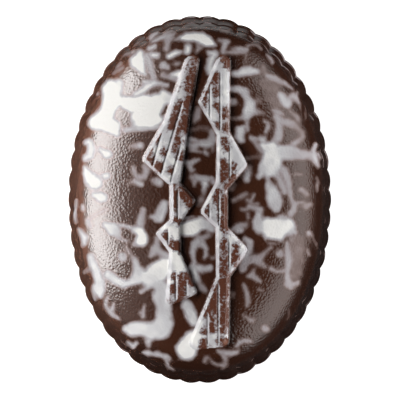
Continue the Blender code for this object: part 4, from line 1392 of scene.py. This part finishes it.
def make_stage(studio):
    """Floor, soft lights, dim surroundings and the camera straight above."""
    mesh = bpy.data.meshes.new("studio_floor")
    corners = [(FLOOR_REACH * x, FLOOR_REACH * y, 0.0) for x, y in ((-1, -1), (1, -1), (1, 1), (-1, 1))]
    mesh.from_pydata(corners, [], [(0, 1, 2, 3)])
    floor = new_object("studio_floor", mesh, pale_floor(studio.floor_glow))
    floor.location.z = -0.02 * MM  # just clear of the foot
    floor.visible_glossy = False
    floor.visible_diffuse = False

    # The strong light on the left, and the dim wall beyond it
    make_panel(
        "left_panel",
        ((138.0, 198.0), (-17.0, 10.0), (12.0, 12.0, 10.0, 28.0), studio.left_glare),
        ((125.0, 222.0), (-17.0, 48.0), (25.0, 22.0, 10.0, 20.0), studio.left_veil),
    )
    # The paler room on the right
    make_panel(
        "right_panel", ((-55.0, 50.0), (-12.0, 16.0), (10.0, 10.0, 12.0, 14.0), studio.right_glare)
    )
    # The table round the praline, which its steep wall mirrors: bright past the upper end, dim elsewhere
    make_panel(
        "rim_panel",
        ((80.0, 108.0), (-78.0, -60.0), (28.0, 28.0, 8.0, 12.0), studio.rim_glare),
        ((190.0, 400.0), (-80.0, -65.0), (50.0, 20.0, 5.0, 15.0), RIM_TRACE * studio.rim_glare),
    )
    make_light("left_softbox", azimuth=163.0, elevation=38.0, size=(0.22, 0.16), power=studio.left_power)
    make_light("near_softbox", azimuth=268.0, elevation=5.0, size=(0.30, 0.06), power=studio.near_power)
    make_light("right_softbox", azimuth=5.0, elevation=4.0, size=(0.36, 0.05), power=studio.right_power)

    world = bpy.data.worlds.new("dim_room")
    world.use_nodes = True
    background = world.node_tree.nodes["Background"]
    background.inputs["Color"].default_value = linear("#FFFFFF")
    background.inputs["Strength"].default_value = studio.room_light
    world.cycles_visibility.glossy = False
    bpy.context.scene.world = world
    bpy.context.scene.view_settings.view_transform = "Standard"
    bpy.context.scene.view_settings.look = "None"

    data = bpy.data.cameras.new("camera")
    data.sensor_width = 36.0
    data.lens = data.sensor_width * studio.camera_height / studio.field_width
    data.clip_start, data.clip_end = 0.01, 20.0
    camera = bpy.data.objects.new("camera", data)
    bpy.context.scene.collection.objects.link(camera)
    camera.location = (studio.camera_x, studio.camera_y, studio.camera_height)
    bpy.context.scene.camera = camera


# --- Add-on -------------------------------------------------------------------------------------------


def colour_property(name, description, hex_colour):
    """A colour that the user can change, with its default given as sRGB."""
    return FloatVectorProperty(
        name=name,
        description=description,
        subtype="COLOR",
        size=4,
        min=0.0,
        max=1.0,
        default=linear(hex_colour),
    )


def length_property(name, description, metres):
    """A length that the user can change."""
    return FloatProperty(name=name, description=description, default=metres, unit="LENGTH")


class PralineShape(bpy.types.PropertyGroup):
    length: length_property("Length", "Over the crests of the flutes", 0.040)
    width: length_property("Width", "Over the crests of the flutes", 0.0286)
    height: length_property("Height", "Foot to the top of the dome", 0.0142)
    oval_power: FloatProperty(name="Fullness", description="Of the outline: 2 is an ellipse", default=2.075)
    wall_height: length_property("Wall height", "Of the fluted wall", 0.0053)
    draft_side: length_property("Side draft", "Wall's lean at the sides", 0.00095)
    draft_end: length_property("End draft", "Wall's lean at the ends", 0.00135)
    flutes: IntProperty(name="Flutes", description="Round the wall", default=50)
    flute_depth: length_property("Flute depth", "Crest to notch", 0.00022)
    strand_height: length_property("Strand height", "Over the dome", 0.0007)
    strand_slope: length_property("Strand slope", "Width of its sides", 0.00036)
    groove_width: length_property("Groove width", "At the ribs' tops", 0.00034)
    groove_depth: length_property("Groove depth", "Under the ribs' tops", 0.00022)
    groove_run: length_property("Groove run", "Length of its shallow ends", 0.0009)


class PralineLook(bpy.types.PropertyGroup):
    dark_chocolate: colour_property("Dark chocolate", "Of the dome", "#3E2318")
    # Painted shade: the colour of the wall, the dome's edge and the strands' painted shadow
    shaded_chocolate: colour_property("Wall chocolate", "Deep in the fluted wall", "#1C110E")
    # Painted highlight of the lit thin rim, and the own redder colour of the strands' tips
    lit_rim_and_tip_chocolate: colour_property("Edge chocolate", "Where the rim is thin and paler", "#7A5547")
    strand_chocolate: colour_property("Strand chocolate", "Under the strands' white", "#5E382B")
    thinnest_film: colour_property("Thinnest film", "Of white over dark", "#5A443E")
    white_chocolate: colour_property("White chocolate", "Where it lies thick", "#EEECE8")
    edge_size: length_property("Edge size", "Of the splashes' wander", 0.0009)
    edge_wander: length_property("Edge wander", "To each side", 0.00018)
    edge_outside: length_property("Edge outside", "A splash's thin edge", 0.00034)
    edge_inside: length_property("Edge inside", "From thin to full", 0.00036)
    speck_size: length_property("Speck size", "On the strands", 0.00026)
    speck_depth: length_property("Speck depth", "Into the white", 0.0007)
    grain_size: length_property("Grain size", "Pitch of the cast grain", 0.00027)
    grain_height: length_property("Grain height", "Of the cast grain", 0.000035)
    dark_roughness: FloatProperty(name="Dark roughness", description="Of bare dark chocolate", default=0.20)
    white_roughness: FloatProperty(name="White roughness", description="Of white chocolate", default=0.80)


class PralineStudio(bpy.types.PropertyGroup):
    floor_glow: FloatProperty(name="Floor glow", description="Light from the floor itself", default=1.0)
    left_glare: FloatProperty(name="Left glare", description="Brightness of the left panel", default=15.5)
    left_veil: FloatProperty(name="Left veil", description="Brightness of the wall beyond it", default=0.9)
    right_glare: FloatProperty(name="Right glare", description="Brightness of the right panel", default=2.7)
    rim_glare: FloatProperty(name="Rim glare", description="From the table, seen in the wall", default=0.6)
    left_power: FloatProperty(name="Left power", description="Of the softbox", default=1.5, unit="POWER")
    right_power: FloatProperty(name="Right power", description="Of the softbox", default=2.2, unit="POWER")
    near_power: FloatProperty(name="Near power", description="Of the softbox", default=1.15, unit="POWER")
    room_light: FloatProperty(name="Room light", description="From all round", default=0.09)
    field_width: length_property("Field width", "That the camera sees", 0.0435)
    camera_height: length_property("Camera height", "Over the floor", 1.5)
    camera_x: length_property("Camera x", "From the middle", 0.000033)
    camera_y: length_property("Camera y", "From the middle", -0.000054)


class PRALINE_OT_add_praline(bpy.types.Operator):
    """Adds the marbled praline"""

    bl_idname = "praline.add_praline"
    bl_label = "Add Marbled Praline"

    def execute(self, context):
        make_praline(context.scene.praline_shape, context.scene.praline_look)
        return {"FINISHED"}


class PRALINE_OT_add_stage(bpy.types.Operator):
    """Adds the pale floor, the soft lights and the camera"""

    bl_idname = "praline.add_stage"
    bl_label = "Add Studio"

    def execute(self, context):
        make_stage(context.scene.praline_studio)
        return {"FINISHED"}


class PRALINE_PT_panel(bpy.types.Panel):
    bl_label = "Praline"
    bl_space_type = "VIEW_3D"
    bl_region_type = "UI"
    bl_category = "Praline"

    def draw(self, context):
        self.layout.operator(PRALINE_OT_add_praline.bl_idname)
        self.layout.operator(PRALINE_OT_add_stage.bl_idname)


CLASSES = (
    PralineShape,
    PralineLook,
    PralineStudio,
    PRALINE_OT_add_praline,
    PRALINE_OT_add_stage,
    PRALINE_PT_panel,
)


def register():
    for cls in CLASSES:
        bpy.utils.register_class(cls)
    bpy.types.Scene.praline_shape = PointerProperty(type=PralineShape)
    bpy.types.Scene.praline_look = PointerProperty(type=PralineLook)
    bpy.types.Scene.praline_studio = PointerProperty(type=PralineStudio)


def unregister():
    del bpy.types.Scene.praline_studio
    del bpy.types.Scene.praline_look
    del bpy.types.Scene.praline_shape
    for cls in reversed(CLASSES):
        bpy.utils.unregister_class(cls)


def main():
    register()
    bpy.ops.praline.add_praline()
    bpy.ops.praline.add_stage()


if __name__ == "__main__":
    main()
